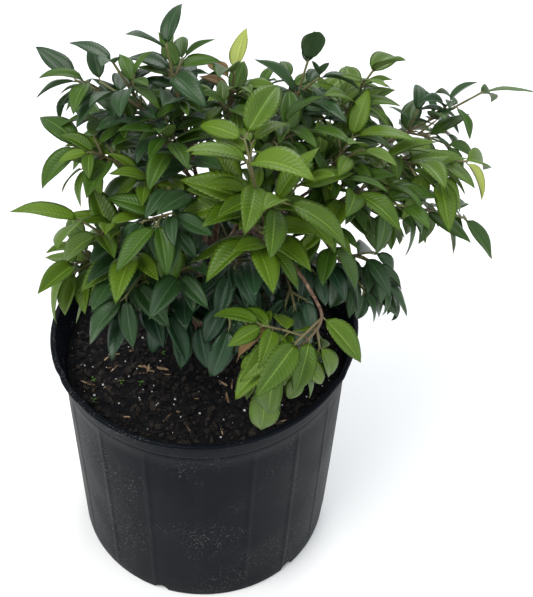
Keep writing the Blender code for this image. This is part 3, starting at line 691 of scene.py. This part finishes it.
class Trunk(Limb):
    """The trunk: a limb that spreads into a root flare at its foot."""

    def skin_radius(self, t, angle):
        """Radius with the flare, which runs out in a few ridges."""
        flare = math.exp(-(self.point(t).z - TRUNK_FOOT.z) / FLARE_HEIGHT)
        ridges = 1 - FLARE_RIDGE + FLARE_RIDGE * math.cos(FLARE_ROOTS * angle)
        return self.radius(t) + FLARE_RADIUS * flare * ridges


def bent_limb(start, tip, rise, root_radius, tip_radius, sides=BOUGH_SIDES, steps=BOUGH_STEPS):
    """A limb that leaves rising above the straight way to its tip, and reaches it from above."""
    reach = tip - start
    third = reach.length / 3
    leave = (reach.normalized() + UP * rise).normalized()
    arrive = (reach.normalized() - UP * rise).normalized()
    points = (start, start + leave * third, tip - arrive * third, tip)
    return Limb(points, root_radius, tip_radius, sides, steps)


def grow_limbs():
    """The trunk and the boughs, by name, each from the middle of what it grows from."""
    ends = (TRUNK_FOOT, TRUNK_BEND_LOW, TRUNK_BEND_HIGH, TRUNK_FORK)
    limbs = {"trunk": Trunk(ends, TRUNK_FOOT_RADIUS, TRUNK_FORK_RADIUS, TRUNK_SIDES, TRUNK_STEPS)}
    for name, parent, place, tip, rise, root_radius, tip_radius in BOUGHS:
        start = limbs[parent].point(place)
        limbs[name] = bent_limb(start, Vector(tip) * MM, rise, root_radius * MM, tip_radius * MM)
    return limbs


def bark_relief(place):
    """How far furrows and flakes lift the bark at a place, as a share of the radius."""
    lift = 0.0
    for across, along, size in (FURROWS, FLAKES):
        lift += size * noise.noise(Vector((place.x * across, place.y * across, place.z * along)))
    return lift


def bark_tube(limb):
    """A limb's skin with its collar, the rings of old nodes, and bark relief."""
    is_trunk = isinstance(limb, Trunk)
    length = limb.length()
    steps = round(length / BARK_STEP)
    sides = TRUNK_BARK_SIDES if is_trunk else BOUGH_BARK_SIDES
    points, faces = limb.tube(sides=sides, steps=steps)
    for k in range(steps + 1):
        run = k / steps * length
        centre = limb.point(k / steps)
        swell = 1.0 if is_trunk else 1.0 + COLLAR_SHARE * math.exp(-((run / COLLAR_HEIGHT) ** 2) / 2)
        off = (run + NODE_RING_SPACING / 2) % NODE_RING_SPACING - NODE_RING_SPACING / 2
        swell += NODE_RING_SHARE * math.exp(-((off / NODE_RING_WIDTH) ** 2))
        for i in range(k * sides, (k + 1) * sides):
            out = (points[i] - centre) * swell
            points[i] = centre + out * (1 + bark_relief(points[i]))
    return points, faces


def bark_material():
    """Reddish-brown bark with tan flakes and dark furrows."""
    look = Material("bark_flaking")
    stretch = look.add("ShaderNodeVectorMath", {0: look.place, 1: (1.0, 1.0, 0.25)}, operation="MULTIPLY")
    furrow = look.noise(stretch, BARK_GRAIN, 5.0)
    flake = look.step(look.noise(look.place, BARK_PATCHES, 4.0), 0.50, 0.62)
    color = look.mix(look.step(furrow, 0.35, 0.6), BARK_DARK, BARK_BROWN)
    color = look.mix(look.scaled(flake, 0.75), color, BARK_TAN)
    return look.finish(color, 0.75, look.math("ADD", furrow, flake), 0.35 * MM, 0.8, 0.3)


def joined(parts):
    """Points and faces of several meshes as one."""
    points = []
    faces = []
    for some_points, some_faces in parts:
        first = len(points)
        points += some_points
        faces += [tuple(first + i for i in face) for face in some_faces]
    return points, faces


LIMBS = grow_limbs()
bark = new_piece("bark_limbs", *joined([bark_tube(limb) for limb in LIMBS.values()]), bark_material())
settle(bark, list(LIMBS))


# Foliage
# Opposite pairs of short-stalked leaves on thin twigs that fork in pairs. Each mass grows on from its
# bough's tip by a seeded rule, and smaller side shoots then fill it. Young sprays are bright green
# and quilted between their veins, old ones are dark and smooth; a few leaves have dried. The bright
# tints also hold painted light shining through the blades, the low and inner masses are darker
# partly as painted shade, and sprays high up are dealt a lighter tint as painted light.

# Masses: name, its bough, tip of its stem in mm, droop, leaf length in mm, sag of the leaves, tint, seed
MASSES = (
    ("foliage_centre", "bough_front", (27, -72, 456), -0.10, 56, 0.20, "bright", 119),
    ("foliage_front_end", "bough_front_fall", (46, -124, 310), 0.50, 56, 0.35, "bright", 83),
    ("foliage_left_out", "bough_left", (-84, -66, 396), 0.10, 52, 0.35, "bright", 26),
    ("foliage_left_hang", "bough_left_hang", (-94, -58, 350), 0.40, 54, 0.90, "bright", 82),
    ("foliage_top_left", "bough_leader", (-30, 4, 494), 0.00, 44, 0.15, "deep", 31),
    ("foliage_top_side", "bough_top_left", (-66, 0, 482), 0.00, 44, 0.15, "deep", 78),
    ("foliage_left_high", "bough_left_high", (-98, 28, 450), 0.15, 42, 0.25, "deep", 117),
    ("foliage_left_mid", "bough_left_mid", (-90, -18, 424), 0.30, 48, 0.40, "mid", 77),
    ("foliage_centre_left", "bough_centre_left", (-32, -76, 404), 0.50, 52, 0.80, "deep", 118),
    ("foliage_top_centre", "bough_top_centre", (16, 20, 468), 0.00, 44, 0.25, "mid", 98),
    ("foliage_top_mid", "bough_top", (69, 50, 461), -0.10, 42, 0.15, "deep", 57),
    ("foliage_top_right", "bough_top_right", (119, 60, 450), 0.00, 44, 0.15, "bright", 69),
    # The low masses take the shade tint: the dark of old leaves, darkened further as painted shade
    ("foliage_low_left", "bough_low_left", (-30, -66, 312), 0.40, 54, 1.00, "shade", 88),
    ("foliage_low_centre", "bough_low_centre", (20, -92, 326), 0.60, 58, 1.00, "shade", 54),
    ("foliage_low_right", "bough_low_right", (66, -76, 332), 0.50, 52, 1.00, "shade", 37),
    ("foliage_right_mid", "bough_right_mid", (130, -12, 396), 0.20, 48, 0.40, "mid", 28),
    ("foliage_right_low", "bough_right_low", (146, -22, 304), 0.50, 54, 1.00, "deep", 77),
    ("foliage_right_far", "bough_right_far", (196, 26, 396), 0.20, 46, 0.30, "bright", 81),
    ("foliage_right_end", "bough_right", (206, 30, 338), 0.30, 44, 0.50, "mid", 63),
    ("foliage_right_tip", "bough_right_back", (214, 92, 418), 0.00, 44, 0.20, "deep", 132),
    ("foliage_back", "bough_back", (20, 116, 388), 0.40, 48, 0.60, "mid", 37),
    ("foliage_back_left", "bough_back_left", (-84, 84, 376), 0.50, 48, 0.60, "deep", 67),
    ("foliage_back_right", "bough_back_right", (130, 122, 384), 0.40, 48, 0.60, "mid", 114),
    # This low mass also takes the shade tint, partly painted shade
    ("foliage_low_back", "bough_low_back", (24, 96, 300), 0.50, 50, 0.90, "shade", 94),
    ("foliage_middle", "bough_middle", (52, -8, 444), 0.10, 46, 0.30, "mid", 22),
    ("foliage_inner_right", "bough_inner_right", (104, 10, 424), 0.10, 46, 0.30, "mid", 149),
    ("foliage_inner_left", "bough_inner_left", (-62, -66, 352), 0.40, 50, 0.60, "deep", 117),
)
STEM_TIP_RADIUS = 0.9 * MM
STEM_STEPS = 4
TWIG_SIDES = 3
NODE_SPACING = 19 * MM
FEWEST_PAIRS = 3
FIRST_NODE = 0.12
LAST_NODE = 0.97
PAIR_ROLL = math.radians(28)
PAIR_OFFSET = 0.7 * MM
ROLL_SPREAD = 0.3
STEEP = 0.25
TRIES = 9
# Side shoots, on places along their bearer from 0 to 1
FORK_CHANCE = 0.35
SHOOT_RADIUS = (1.05 * MM, 0.8 * MM)
SHOOT_STEPS = 2
SHOOT_LENGTH = (26 * MM, 44 * MM)
SHOOT_TAPER = (1.1, 0.4)
SHOOT_ANGLE = math.radians(52)
SHOOT_ANGLE_SPREAD = 0.2
SHOOT_ROLL_SPREAD = 0.4
SHOOT_TURN_AHEAD = 0.15
SHOOT_TURN_UP = 0.05
SHOOT_RISE = (-0.1, 0.2)
SHOOT_ROOT = 0.2
SHOOT_NODES = (0.52, LAST_NODE)
SHOOT_LEAF_SHARE = 0.94
# Finer shoots, which the solids leave out
FINE_SHOOTS = 10
FINE_SEED = 1000
FINE_PLACES = (0.10, 0.80)
FINE_ROLL = 1.2
FINE_LENGTH_SHARE = 0.55
FINE_NODES = (0.5, LAST_NODE)
FINE_ROLL_SPREAD = 0.6
FINE_LEAF_SHARE = 0.66
# Leaves
LEAF_ANGLE = math.radians(58)
END_LEAF_ANGLE = math.radians(34)
LEAF_ANGLE_SPREAD = 0.25
LEAF_ROLL_SPREAD = 0.5
LEAF_SIZE = (0.72, 1.08)
LEAF_SAG = (0.4, 1.3)
LEAF_WIDTH = 0.38
LEAF_BEND = (0.2, 1.1)
LEAF_FOLD = (0.10, 0.70)
LEAF_TILT = math.radians(22)
OUTWARD_TILT = 2.2
# Room that each takes up
LEAF_WIDEST = 0.34
LEAF_SHOULDER = 0.66
SHOULDER_WIDTH = 0.82
LEAF_THICKEST = 0.36
THICKNESS_SHARE = 0.011
CLEARANCE = 0.5 * MM
NECK = 4 * MM
SHARED_BORDER = 14 * MM
AXIS_STEPS = 5
# Blades
BLADE_WIDTH = 0.39
FOOT_FULLNESS = 0.72
TIP_SHARPNESS = 1.1
BLADE_ROWS = 9
BLADE_COLUMNS = 6
BLADE_THICKNESS = 0.34 * MM
BLADE_ARCH = 0.10
WAVES_ALONG = 9.0
WAVE_SIZE = (0.004, 0.016)
STALK_SHARE = 0.07
STALK_RADIUS = (0.62 * MM, 0.42 * MM)
SIDE_VEINS = 15.0
VEIN_SWEEP = 2.6
VEIN_EDGE = (0.0, 0.30)
MIDRIB_EDGE = (0.03, 0.09)
MARGIN_EDGE = (0.90, 0.99)
LEAF_SPECULAR = 0.30
QUILT_DEPTH = 0.34 * MM
TWIG_BARK_SIDES = 7
TWIG_BARK_STEP = 3 * MM
TWIG_SHARE = 0.92
TWIG_SWELL = (0.16, 2.4)
TWIG_YOUTH = (0.25, 0.8)
STALK_YOUTH = 0.7


class Leaf:
    """A leaf: base, direction, upper side, length, bend along it and fold along its midrib."""

    def __init__(self, base, along, upper, length, bend, fold):
        self.base = base
        self.along = along.normalized()
        self.upper = (upper - self.along * upper.dot(self.along)).normalized()
        self.side = self.upper.cross(self.along)
        self.length = length
        self.bend = bend
        self.fold = fold
        self.spray = ""

    def point(self, t, across=0.0, above=0.0):
        """Place on the blade: t along the midrib, across it, and above its upper side."""
        turn = self.bend * t
        ahead = math.sin(turn) / self.bend * self.length
        below = (1 - math.cos(turn)) / self.bend * self.length
        normal = self.upper * math.cos(turn) + self.along * math.sin(turn)
        lift = above + abs(across) * self.fold
        return self.base + self.along * ahead - self.upper * below + self.side * across + normal * lift

    def solid(self, neck=0.0, grow=0.0):
        """The leaf's plain form, which the growth rule tests for room."""
        half = 0.5 * LEAF_WIDTH * self.length
        thick = 0.5 * THICKNESS_SHARE * self.length + grow
        outline = [
            self.point(neck / self.length),
            self.point(LEAF_WIDEST, -half - grow),
            self.point(LEAF_SHOULDER, -SHOULDER_WIDTH * half - grow),
            self.point(1.0),
            self.point(LEAF_SHOULDER, SHOULDER_WIDTH * half + grow),
            self.point(LEAF_WIDEST, half + grow),
        ]
        n = len(outline)
        faces = []
        for i in range(n):
            j = (i + 1) % n
            faces.append((n, j, i))
            faces.append((n + 1, i, j))
        return outline + [self.point(LEAF_THICKEST, 0, side) for side in (thick, -thick)], faces


class Space:
    """What has been grown so far, and who may grow where."""

    def __init__(self, limbs):
        self.taken = []
        self.axes = {}
        for name, limb in limbs.items():
            self.take(name, *limb.tube(grow=CLEARANCE))
        for row in MASSES:
            stem = mass_stem(row, limbs)
            self.axes[row[0]] = [stem.point(i / AXIS_STEPS) for i in range(AXIS_STEPS + 1)]
            self.take(f"{row[0]}_0", *stem.tube(grow=CLEARANCE))

    def room(self, points, faces):
        """The ball round a solid and its search tree."""
        middle = sum(points, Vector()) / len(points)
        return middle, max((p - middle).length for p in points), BVHTree.FromPolygons(points, faces)

    def take(self, key, points, faces):
        """Enter a solid as taken."""
        self.taken.append((key, *self.room(points, faces)))

    def is_clear(self, bearer, points, faces):
        """Whether a solid stays clear of all but the twig that bears it."""
        middle, size, tree = self.room(points, faces)
        for key, centre, reach, other in self.taken:
            is_near = key != bearer and (centre - middle).length <= reach + size
            if is_near and tree.overlap(other):
                return False
        return True

    def is_own(self, mass, place):
        """Whether a place lies in a mass's own space: no other stem is nearer, but for a narrow border."""
        limit = self.distance(mass, place) - SHARED_BORDER
        return all(limit < self.distance(other, place) for other in self.axes if other != mass)

    def distance(self, mass, place):
        """Distance from a place to a mass's stem."""
        axis = self.axes[mass]
        nearest = []
        for p, q in zip(axis, axis[1:]):
            run = q - p
            t = min(max((place - p).dot(run) / run.length_squared, 0.0), 1.0)
            nearest.append((p + run * t - place).length)
        return min(nearest)


def mass_stem(row, limbs):
    """The stem of a mass, which goes on from its bough's tip."""
    _, bough, tip, droop, _, _, _, _ = row
    limb = limbs[bough]
    ahead = limb.direction(1.0)
    start = limb.point(1.0) + ahead * GAP
    reach = Vector(tip) * MM - start
    third = reach.length / 3
    arrive = (reach.normalized() - UP * droop).normalized()
    points = (start, start + ahead * third, Vector(tip) * MM - arrive * third, Vector(tip) * MM)
    return Limb(points, limb.tip_radius, STEM_TIP_RADIUS, TWIG_SIDES, STEM_STEPS)


def side_frame(limb, t, hand, roll):
    """Direction of the limb and the direction sideways from it, rolled about it."""
    ahead = limb.direction(t)
    flat = ahead.cross(UP)
    if flat.length < STEEP:
        flat = ahead.cross(Vector((1, 0, 0)))
    return ahead, Matrix.Rotation(roll, 3, ahead) @ (flat.normalized() * hand)


class Mass:
    """One mass of foliage, grown by the same rule and seed as its solid: stem, side shoots and leaves."""

    def __init__(self, row, limbs, space):
        self.name, _, _, _, self.leaf_length, self.sag, self.tint, self.seed = row
        self.dice = random.Random(self.seed)
        self.space = space
        self.twigs = [mass_stem(row, limbs)]
        self.leaves = []
        self.grow()

    def grow(self):
        """Grow pairs along the stem, where each side of a pair is a side shoot or a leaf."""
        pairs = max(FEWEST_PAIRS, round(self.twigs[0].length() / NODE_SPACING))
        for k in range(pairs):
            t = FIRST_NODE + (LAST_NODE - FIRST_NODE) * k / (pairs - 1)
            roll = PAIR_ROLL * (-1) ** k + self.spread(ROLL_SPREAD)
            at_end = k == pairs - 1
            for hand in (-1, 1):
                forks = not at_end and self.dice.random() < FORK_CHANCE
                if not (forks and self.add_shoot(0, t, hand, roll)):
                    self.add_leaf(0, t, hand, roll, at_end)
                    continue
                for n, place in enumerate(SHOOT_NODES):
                    self.add_pair(place, PAIR_ROLL * (-1) ** n + self.spread(ROLL_SPREAD), SHOOT_LEAF_SHARE)

    def grow_finer(self):
        """Carry the mass on to finer side shoots with smaller leaves, within the reach it already has."""
        self.dice = random.Random(self.seed + FINE_SEED)
        bearers = len(self.twigs)
        for n in range(FINE_SHOOTS):
            number = self.dice.randrange(bearers) if n % 2 else 0
            t = self.dice.uniform(*FINE_PLACES)
            roll = self.spread(FINE_ROLL)
            if self.add_shoot(number, t, self.dice.choice((-1, 1)), roll, FINE_LENGTH_SHARE):
                for place in FINE_NODES:
                    self.add_pair(place, self.spread(FINE_ROLL_SPREAD), FINE_LEAF_SHARE)

    def spread(self, size):
        """A random amount to either side."""
        return self.dice.uniform(-size, size)

    def add_shoot(self, number, t, hand, roll, share=1.0):
        """Grow a side shoot on one of the twigs, and say whether it found room."""
        bearer = self.twigs[number]
        for _ in range(TRIES):
            ahead, sideways = side_frame(bearer, t, hand, roll + self.spread(SHOOT_ROLL_SPREAD))
            angle = SHOOT_ANGLE + self.spread(SHOOT_ANGLE_SPREAD)
            size = self.dice.uniform(*SHOOT_LENGTH) * (SHOOT_TAPER[0] - SHOOT_TAPER[1] * t) * share
            leave = ahead * math.cos(angle) + sideways * math.sin(angle)
            start = bearer.point(t) + ahead * (PAIR_OFFSET * hand)
            tip = start + (leave + ahead * SHOOT_TURN_AHEAD + UP * SHOOT_TURN_UP).normalized() * size
            rise = self.dice.uniform(*SHOOT_RISE)
            shoot = bent_limb(start, tip, rise, *SHOOT_RADIUS, TWIG_SIDES, SHOOT_STEPS)
            outer = shoot.tube(grow=CLEARANCE, first=SHOOT_ROOT)
            if self.space.is_own(self.name, tip) and self.space.is_clear(f"{self.name}_{number}", *outer):
                self.space.take(f"{self.name}_{len(self.twigs)}", *shoot.tube(grow=CLEARANCE))
                self.twigs.append(shoot)
                return True
        return False

    def add_pair(self, t, roll, share):
        """Grow a pair of leaves on the newest side shoot."""
        for hand in (-1, 1):
            self.add_leaf(len(self.twigs) - 1, t, hand, roll, t == LAST_NODE, share)

    def add_leaf(self, number, t, hand, roll, at_end, share=1.0):
        """Grow a leaf at a place on one of the twigs, if it finds room."""
        twig = self.twigs[number]
        spray = f"{self.name}_{number}"
        for _ in range(TRIES):
            ahead, sideways = side_frame(twig, t, hand, roll + self.spread(LEAF_ROLL_SPREAD))
            angle = (END_LEAF_ANGLE if at_end else LEAF_ANGLE) + self.spread(LEAF_ANGLE_SPREAD)
            along = ahead * math.cos(angle) + sideways * math.sin(angle)
            along = along - UP * self.sag * self.dice.uniform(*LEAF_SAG)
            base = twig.point(t) + ahead * (PAIR_OFFSET * hand)
            outward = Vector((base.x - TRUNK_FORK.x, base.y, 0.0)) * OUTWARD_TILT
            tilt = Matrix.Rotation(self.spread(LEAF_TILT), 3, along.normalized())
            size = self.leaf_length * share * MM * self.dice.uniform(*LEAF_SIZE)
            bend = self.dice.uniform(*LEAF_BEND)
            leaf = Leaf(base, along, tilt @ (UP + outward), size, bend, self.dice.uniform(*LEAF_FOLD))
            form = leaf.solid(neck=NECK, grow=CLEARANCE)
            if self.space.is_own(self.name, leaf.point(0.5)) and self.space.is_clear(spray, *form):
                self.space.take(f"{spray}_leaf_{len(self.leaves)}", *form)
                leaf.spray = spray
                self.leaves.append(leaf)
                return


def blade_half(u):
    """Half width of the blade at u along it, as a share of the widest: rounded foot, pointed tip."""
    widest = FOOT_FULLNESS / (FOOT_FULLNESS + TIP_SHARPNESS)
    return (u / widest) ** FOOT_FULLNESS * ((1 - u) / (1 - widest)) ** TIP_SHARPNESS


class LeafSheets:
    """The joined blades of one kind of leaf: two sheets each, sewn along the margin."""

    def __init__(self):
        self.points = []
        self.faces = []
        self.uvs = []
        self.under = []
        self.tone = []

    def corner(self, leaf, u, v, above, shape):
        """Enter one point of a blade and return its number."""
        t = STALK_SHARE + (1 - STALK_SHARE) * u
        half = 0.5 * BLADE_WIDTH * leaf.length * blade_half(u) if 0 < u < 1 else 0.0
        wave = math.sin(shape[0] + WAVES_ALONG * u) * shape[1] * v * v * leaf.length
        arch = BLADE_ARCH * half * math.sin(math.pi * abs(v))
        self.points.append(leaf.point(t, v * half, wave + arch + above))
        return len(self.points) - 1

    def add(self, leaf, dice):
        """Add one leaf."""
        shape = (dice.uniform(0, 6.28), dice.uniform(*WAVE_SIZE))
        tone = dice.random()
        first = len(self.points)
        foot = self.corner(leaf, 0, 0, 0, shape)
        tip = self.corner(leaf, 1, 0, 0, shape)
        place = {foot: (0.5, 0.0), tip: (0.5, 1.0)}
        sheets = ([], [])
        for k in range(1, BLADE_ROWS):
            u = k / BLADE_ROWS
            lines = ([], [])
            for j in range(BLADE_COLUMNS + 1):
                v = 2 * j / BLADE_COLUMNS - 1
                is_rim = abs(v) == 1
                upper = self.corner(leaf, u, v, 0 if is_rim else BLADE_THICKNESS / 2, shape)
                lower = upper if is_rim else self.corner(leaf, u, v, -BLADE_THICKNESS / 2, shape)
                for line, corner in zip(lines, (upper, lower)):
                    line.append(corner)
                    place[corner] = (j / BLADE_COLUMNS, u)
            for sheet, line in zip(sheets, lines):
                sheet.append(line)
        for is_under, sheet in enumerate(sheets):
            made = []
            for j in range(BLADE_COLUMNS):
                made.append((foot, sheet[0][j], sheet[0][j + 1]))
                made.append((tip, sheet[-1][j + 1], sheet[-1][j]))
                for low, high in zip(sheet, sheet[1:]):
                    made.append((low[j], high[j], high[j + 1], low[j + 1]))
            if not is_under:
                made = [tuple(reversed(face)) for face in made]
            self.faces += made
            self.under += [float(is_under)] * len(made)
            self.uvs += [place[corner] for face in made for corner in face]
        self.tone += [tone] * (len(self.points) - first)

    def piece(self, name, material):
        """The sheets as one mesh with its UV map and attributes."""
        thing = new_piece(name, self.points, self.faces, material, False)
        layer = thing.data.uv_layers.new(name="blade")
        layer.data.foreach_set("uv", [value for uv in self.uvs for value in uv])
        under = thing.data.attributes.new("underside", "FLOAT", "FACE")
        under.data.foreach_set("value", self.under)
        tone = thing.data.attributes.new("tone", "FLOAT", "POINT")
        tone.data.foreach_set("value", self.tone)
        return thing


def leaf_material(name, dark, light, under, quilt, roughness):
    """A leathery blade: pale midrib and margin, fine side veins, quilted between them."""
    look = Material(name)
    split = look.tree.nodes.new("ShaderNodeSeparateXYZ")
    look.wire(split.inputs[0], look.add("ShaderNodeUVMap", uv_map="blade"))
    across = look.scaled(look.math("ABSOLUTE", look.math("SUBTRACT", split.outputs[0], 0.5)), 2.0)
    along = look.scaled(split.outputs[1], SIDE_VEINS)
    run = look.math("SUBTRACT", along, look.scaled(across, VEIN_SWEEP))
    cushion = look.math("ABSOLUTE", look.math("SINE", look.scaled(run, math.pi)))
    vein = look.math("SUBTRACT", 1.0, look.step(cushion, *VEIN_EDGE))
    midrib = look.math("SUBTRACT", 1.0, look.step(across, *MIDRIB_EDGE))
    margin = look.step(across, *MARGIN_EDGE)
    tone = look.add("ShaderNodeAttribute", output="Fac", attribute_name="tone")
    underside = look.add("ShaderNodeAttribute", output="Fac", attribute_name="underside")
    blotch = look.noise(look.place, 60.0, 4.0)
    color = look.mix(look.math("ADD", look.scaled(tone, 0.65), look.scaled(blotch, 0.45), True), dark, light)
    deeper = look.mix(0.45, color, tuple(c * 0.35 for c in dark[:3]) + (1,))
    paler = look.mix(0.5, color, tuple(c * 2.2 + 0.05 for c in light[:3]) + (1,))
    color = look.mix(look.scaled(vein, 0.28 * quilt + 0.08), color, deeper)
    color = look.mix(look.scaled(midrib, 0.7), color, paler)
    color = look.mix(look.scaled(margin, 0.35), color, paler)
    color = look.mix(look.scaled(underside, 0.85), color, under)
    sheet = look.math("ADD", look.scaled(cushion, quilt), look.scaled(look.noise(look.place, 700.0), 0.25))
    height = look.math("SUBTRACT", sheet, look.scaled(midrib, 0.8))
    return look.finish(color, roughness, height, QUILT_DEPTH, 0.6, LEAF_SPECULAR)


def twig_material():
    """Thin bark, dark reddish-brown at a twig's root and green towards its tip and on leaf stalks."""
    look = Material("twig_bark")
    youth = look.add("ShaderNodeAttribute", output="Fac", attribute_name="youth")
    grain = look.noise(look.place, 420.0, 4.0)
    old = look.mix(grain, (0.050, 0.028, 0.018, 1), (0.16, 0.095, 0.055, 1))
    young = look.mix(grain, (0.10, 0.085, 0.030, 1), (0.17, 0.20, 0.065, 1))
    return look.finish(look.mix(youth, old, young), 0.6, grain, 0.2 * MM, 0.6, 0.4)


def make_twigs(masses):
    """All twigs and leaf stalks as one piece."""
    parts = []
    youth = []
    for mass in masses:
        for n, twig in enumerate(mass.twigs):
            steps = max(6, round(twig.length() / TWIG_BARK_STEP))
            points, faces = twig.tube(sides=TWIG_BARK_SIDES, steps=steps)
            for i, point in enumerate(points):
                k = i // TWIG_BARK_SIDES
                centre = twig.point(k / steps)
                swell = TWIG_SHARE * (1.0 + TWIG_SWELL[0] * math.sin(k * TWIG_SWELL[1]) ** 2)
                points[i] = centre + (point - centre) * swell
                youth.append(min(1.0, TWIG_YOUTH[0] * (n > 0) + TWIG_YOUTH[1] * k / steps))
            parts.append((points, faces))
        for leaf in mass.leaves:
            curve = [leaf.point(STALK_SHARE * share) for share in (0.0, 0.4, 1.0, 1.6)]
            stalk = Limb(curve, *STALK_RADIUS, 6, 4)
            parts.append(stalk.tube())
            youth += [STALK_YOUTH] * len(parts[-1][0])
    piece = new_piece("twigs", *joined(parts), twig_material())
    layer = piece.data.attributes.new("youth", "FLOAT", "POINT")
    layer.data.foreach_set("value", youth)
    return piece


# Tints: dark and light of the blade, its underside, depth of the quilting, roughness, seed
TINTS = {
    # bright: the light green of young leaves, made lighter still as painted light shining through the blade
    "bright": ((0.030, 0.074, 0.002, 1), (0.096, 0.172, 0.006, 1), (0.12, 0.19, 0.035, 1), 0.9, 0.42, 6),
    "mid": ((0.017, 0.054, 0.003, 1), (0.050, 0.110, 0.006, 1), (0.09, 0.14, 0.032, 1), 0.6, 0.40, 3),
    "deep": ((0.009, 0.034, 0.008, 1), (0.028, 0.070, 0.018, 1), (0.065, 0.115, 0.05, 1), 0.35, 0.38, 4),
    # shade: dark old leaves darkened further as painted shade, for the low masses
    "shade": ((0.008, 0.030, 0.012, 1), (0.022, 0.060, 0.024, 1), (0.060, 0.10, 0.055, 1), 0.3, 0.36, 5),
    # young: yellow-green of new leaves, partly painted light shining through the blade
    "young": ((0.20, 0.27, 0.035, 1), (0.33, 0.38, 0.08, 1), (0.30, 0.34, 0.12, 1), 0.6, 0.45, 5),
    "dry": ((0.12, 0.065, 0.022, 1), (0.24, 0.15, 0.062, 1), (0.22, 0.14, 0.07, 1), 0.5, 0.7, 3),
}
# Sprays that stand high are the more likely to be a tint lighter than their mass: painted light, as light
# falls more on the top
LIGHTER = {"shade": "deep", "deep": "mid", "mid": "bright", "bright": "bright"}
PAINTED_LIGHT_SHARE = 0.75
LIT_FROM = 330 * MM
LIT_TO = 470 * MM
SPRAY_SEED = 7
# Odd leaves: the leaf nearest to each place, in mm, takes another tint than its spray
ODD_LEAVES = (
    ((2, 40, 470), "dry"),
    ((-10, 30, 452), "dry"),
    ((22, 34, 474), "young"),
    ((46, -60, 400), "young"),
    ((30, -110, 330), "dry"),
    ((205, 30, 370), "young"),
)


def deal_tints(masses):
    """The tint of each leaf, dealt out by spray with high sprays more often lighter as painted light, and
    then to the odd leaves.
    """
    dice = random.Random(SPRAY_SEED)
    sprays = {}
    tints = {}
    for mass in masses:
        for leaf in mass.leaves:
            if leaf.spray not in sprays:
                # Higher sprays are more often dealt a lighter tint: painted light.
                lit = (leaf.base.z - LIT_FROM) / (LIT_TO - LIT_FROM)
                is_painted_lighter = dice.random() < PAINTED_LIGHT_SHARE * lit
                sprays[leaf.spray] = LIGHTER[mass.tint] if is_painted_lighter else mass.tint
            tints[leaf] = sprays[leaf.spray]
    for place, tint in ODD_LEAVES:
        nearest = min(tints, key=lambda leaf: (leaf.point(0.6) - Vector(place) * MM).length)
        tints[nearest] = tint
    return tints


def make_foliage():
    """Grow every mass, then join its twigs, and its leaves kind by kind."""
    space = Space(LIMBS)
    masses = [Mass(row, LIMBS, space) for row in MASSES]
    for mass in masses:
        mass.grow_finer()
    settle(make_twigs(masses), [mass.name for mass in masses])
    tints = deal_tints(masses)
    for tint, (*look, seed) in TINTS.items():
        sheets = LeafSheets()
        dice = random.Random(seed)
        homes = set()
        for mass in masses:
            for leaf in mass.leaves:
                if tints[leaf] == tint:
                    sheets.add(leaf, dice)
                    homes.add(mass.name)
        piece = sheets.piece(f"leaves_{tint}", leaf_material(f"leaf_blade_{tint}", *look))
        settle(piece, sorted(homes))


make_foliage()


# Stage
# A pale plain floor under soft studio light, with the camera where the photograph was taken from.

CAMERA_PLACE = Vector((0.023, -0.575, 0.806))
CAMERA_YAW = math.radians(2.55)
CAMERA_PITCH = math.radians(43.0)
CAMERA_ROLL = math.radians(3.95)
CAMERA_LENS = 57.29
CAMERA_NEAR = 0.05
AIM = Vector((0.03, 0.0, 0.25))
# Lamps: name, place, width, power in watts, colour
LAMPS = (
    ("key", (-1.1, -0.9, 2.3), 1.6, 44.0, (1.0, 0.98, 0.95)),
    ("fill", (1.7, -1.2, 1.3), 2.0, 16.0, (0.95, 0.98, 1.0)),
    ("back", (0.4, 1.9, 1.9), 1.6, 26.0, (1.0, 1.0, 1.0)),
)
FLOOR_SIZE = 9.0
FLOOR_COLOR = (0.95, 0.95, 0.945, 1)
SKY_COLOR = (0.92, 0.96, 1.0, 1)
SKY_STRENGTH = 0.78
PAPER_MOTTLING = (1.5, 0.99)


def make_stage():
    """Floor, lamps, sky and camera."""
    scene = bpy.context.scene
    paper = Material("floor_paper")
    scale, share = PAPER_MOTTLING
    tone = paper.mix(paper.noise(paper.place, scale), FLOOR_COLOR, tuple(c * share for c in FLOOR_COLOR))
    half = FLOOR_SIZE / 2
    corners = [(-half, -half, 0), (half, -half, 0), (half, half, 0), (-half, half, 0)]
    floor = new_piece("floor", corners, [(0, 1, 2, 3)], paper.finish(tone, 0.9), False)
    for name, place, width, power, color in LAMPS:
        lamp = bpy.data.lights.new(name, "AREA")
        lamp.shape = "DISK"
        lamp.size = width
        lamp.energy = power
        lamp.color = color
        thing = bpy.data.objects.new(name, lamp)
        thing.location = place
        thing.rotation_euler = (Vector(place) - AIM).to_track_quat("Z", "Y").to_euler()
        scene.collection.objects.link(thing)
    world = bpy.data.worlds.new("studio")
    world.use_nodes = True
    world.node_tree.nodes["Background"].inputs["Color"].default_value = SKY_COLOR
    world.node_tree.nodes["Background"].inputs["Strength"].default_value = SKY_STRENGTH
    scene.world = world
    scene.view_settings.view_transform = "Standard"
    lens = bpy.data.cameras.new("camera")
    lens.lens = CAMERA_LENS
    lens.clip_start = CAMERA_NEAR
    camera = bpy.data.objects.new("camera", lens)
    turn = Matrix.Rotation(-CAMERA_YAW, 4, "Z") @ Matrix.Rotation(math.pi / 2 - CAMERA_PITCH, 4, "X")
    turn = turn @ Matrix.Rotation(CAMERA_ROLL, 4, "Z")
    camera.matrix_world = Matrix.Translation(CAMERA_PLACE) @ turn
    scene.collection.objects.link(camera)
    scene.camera = camera


make_stage()
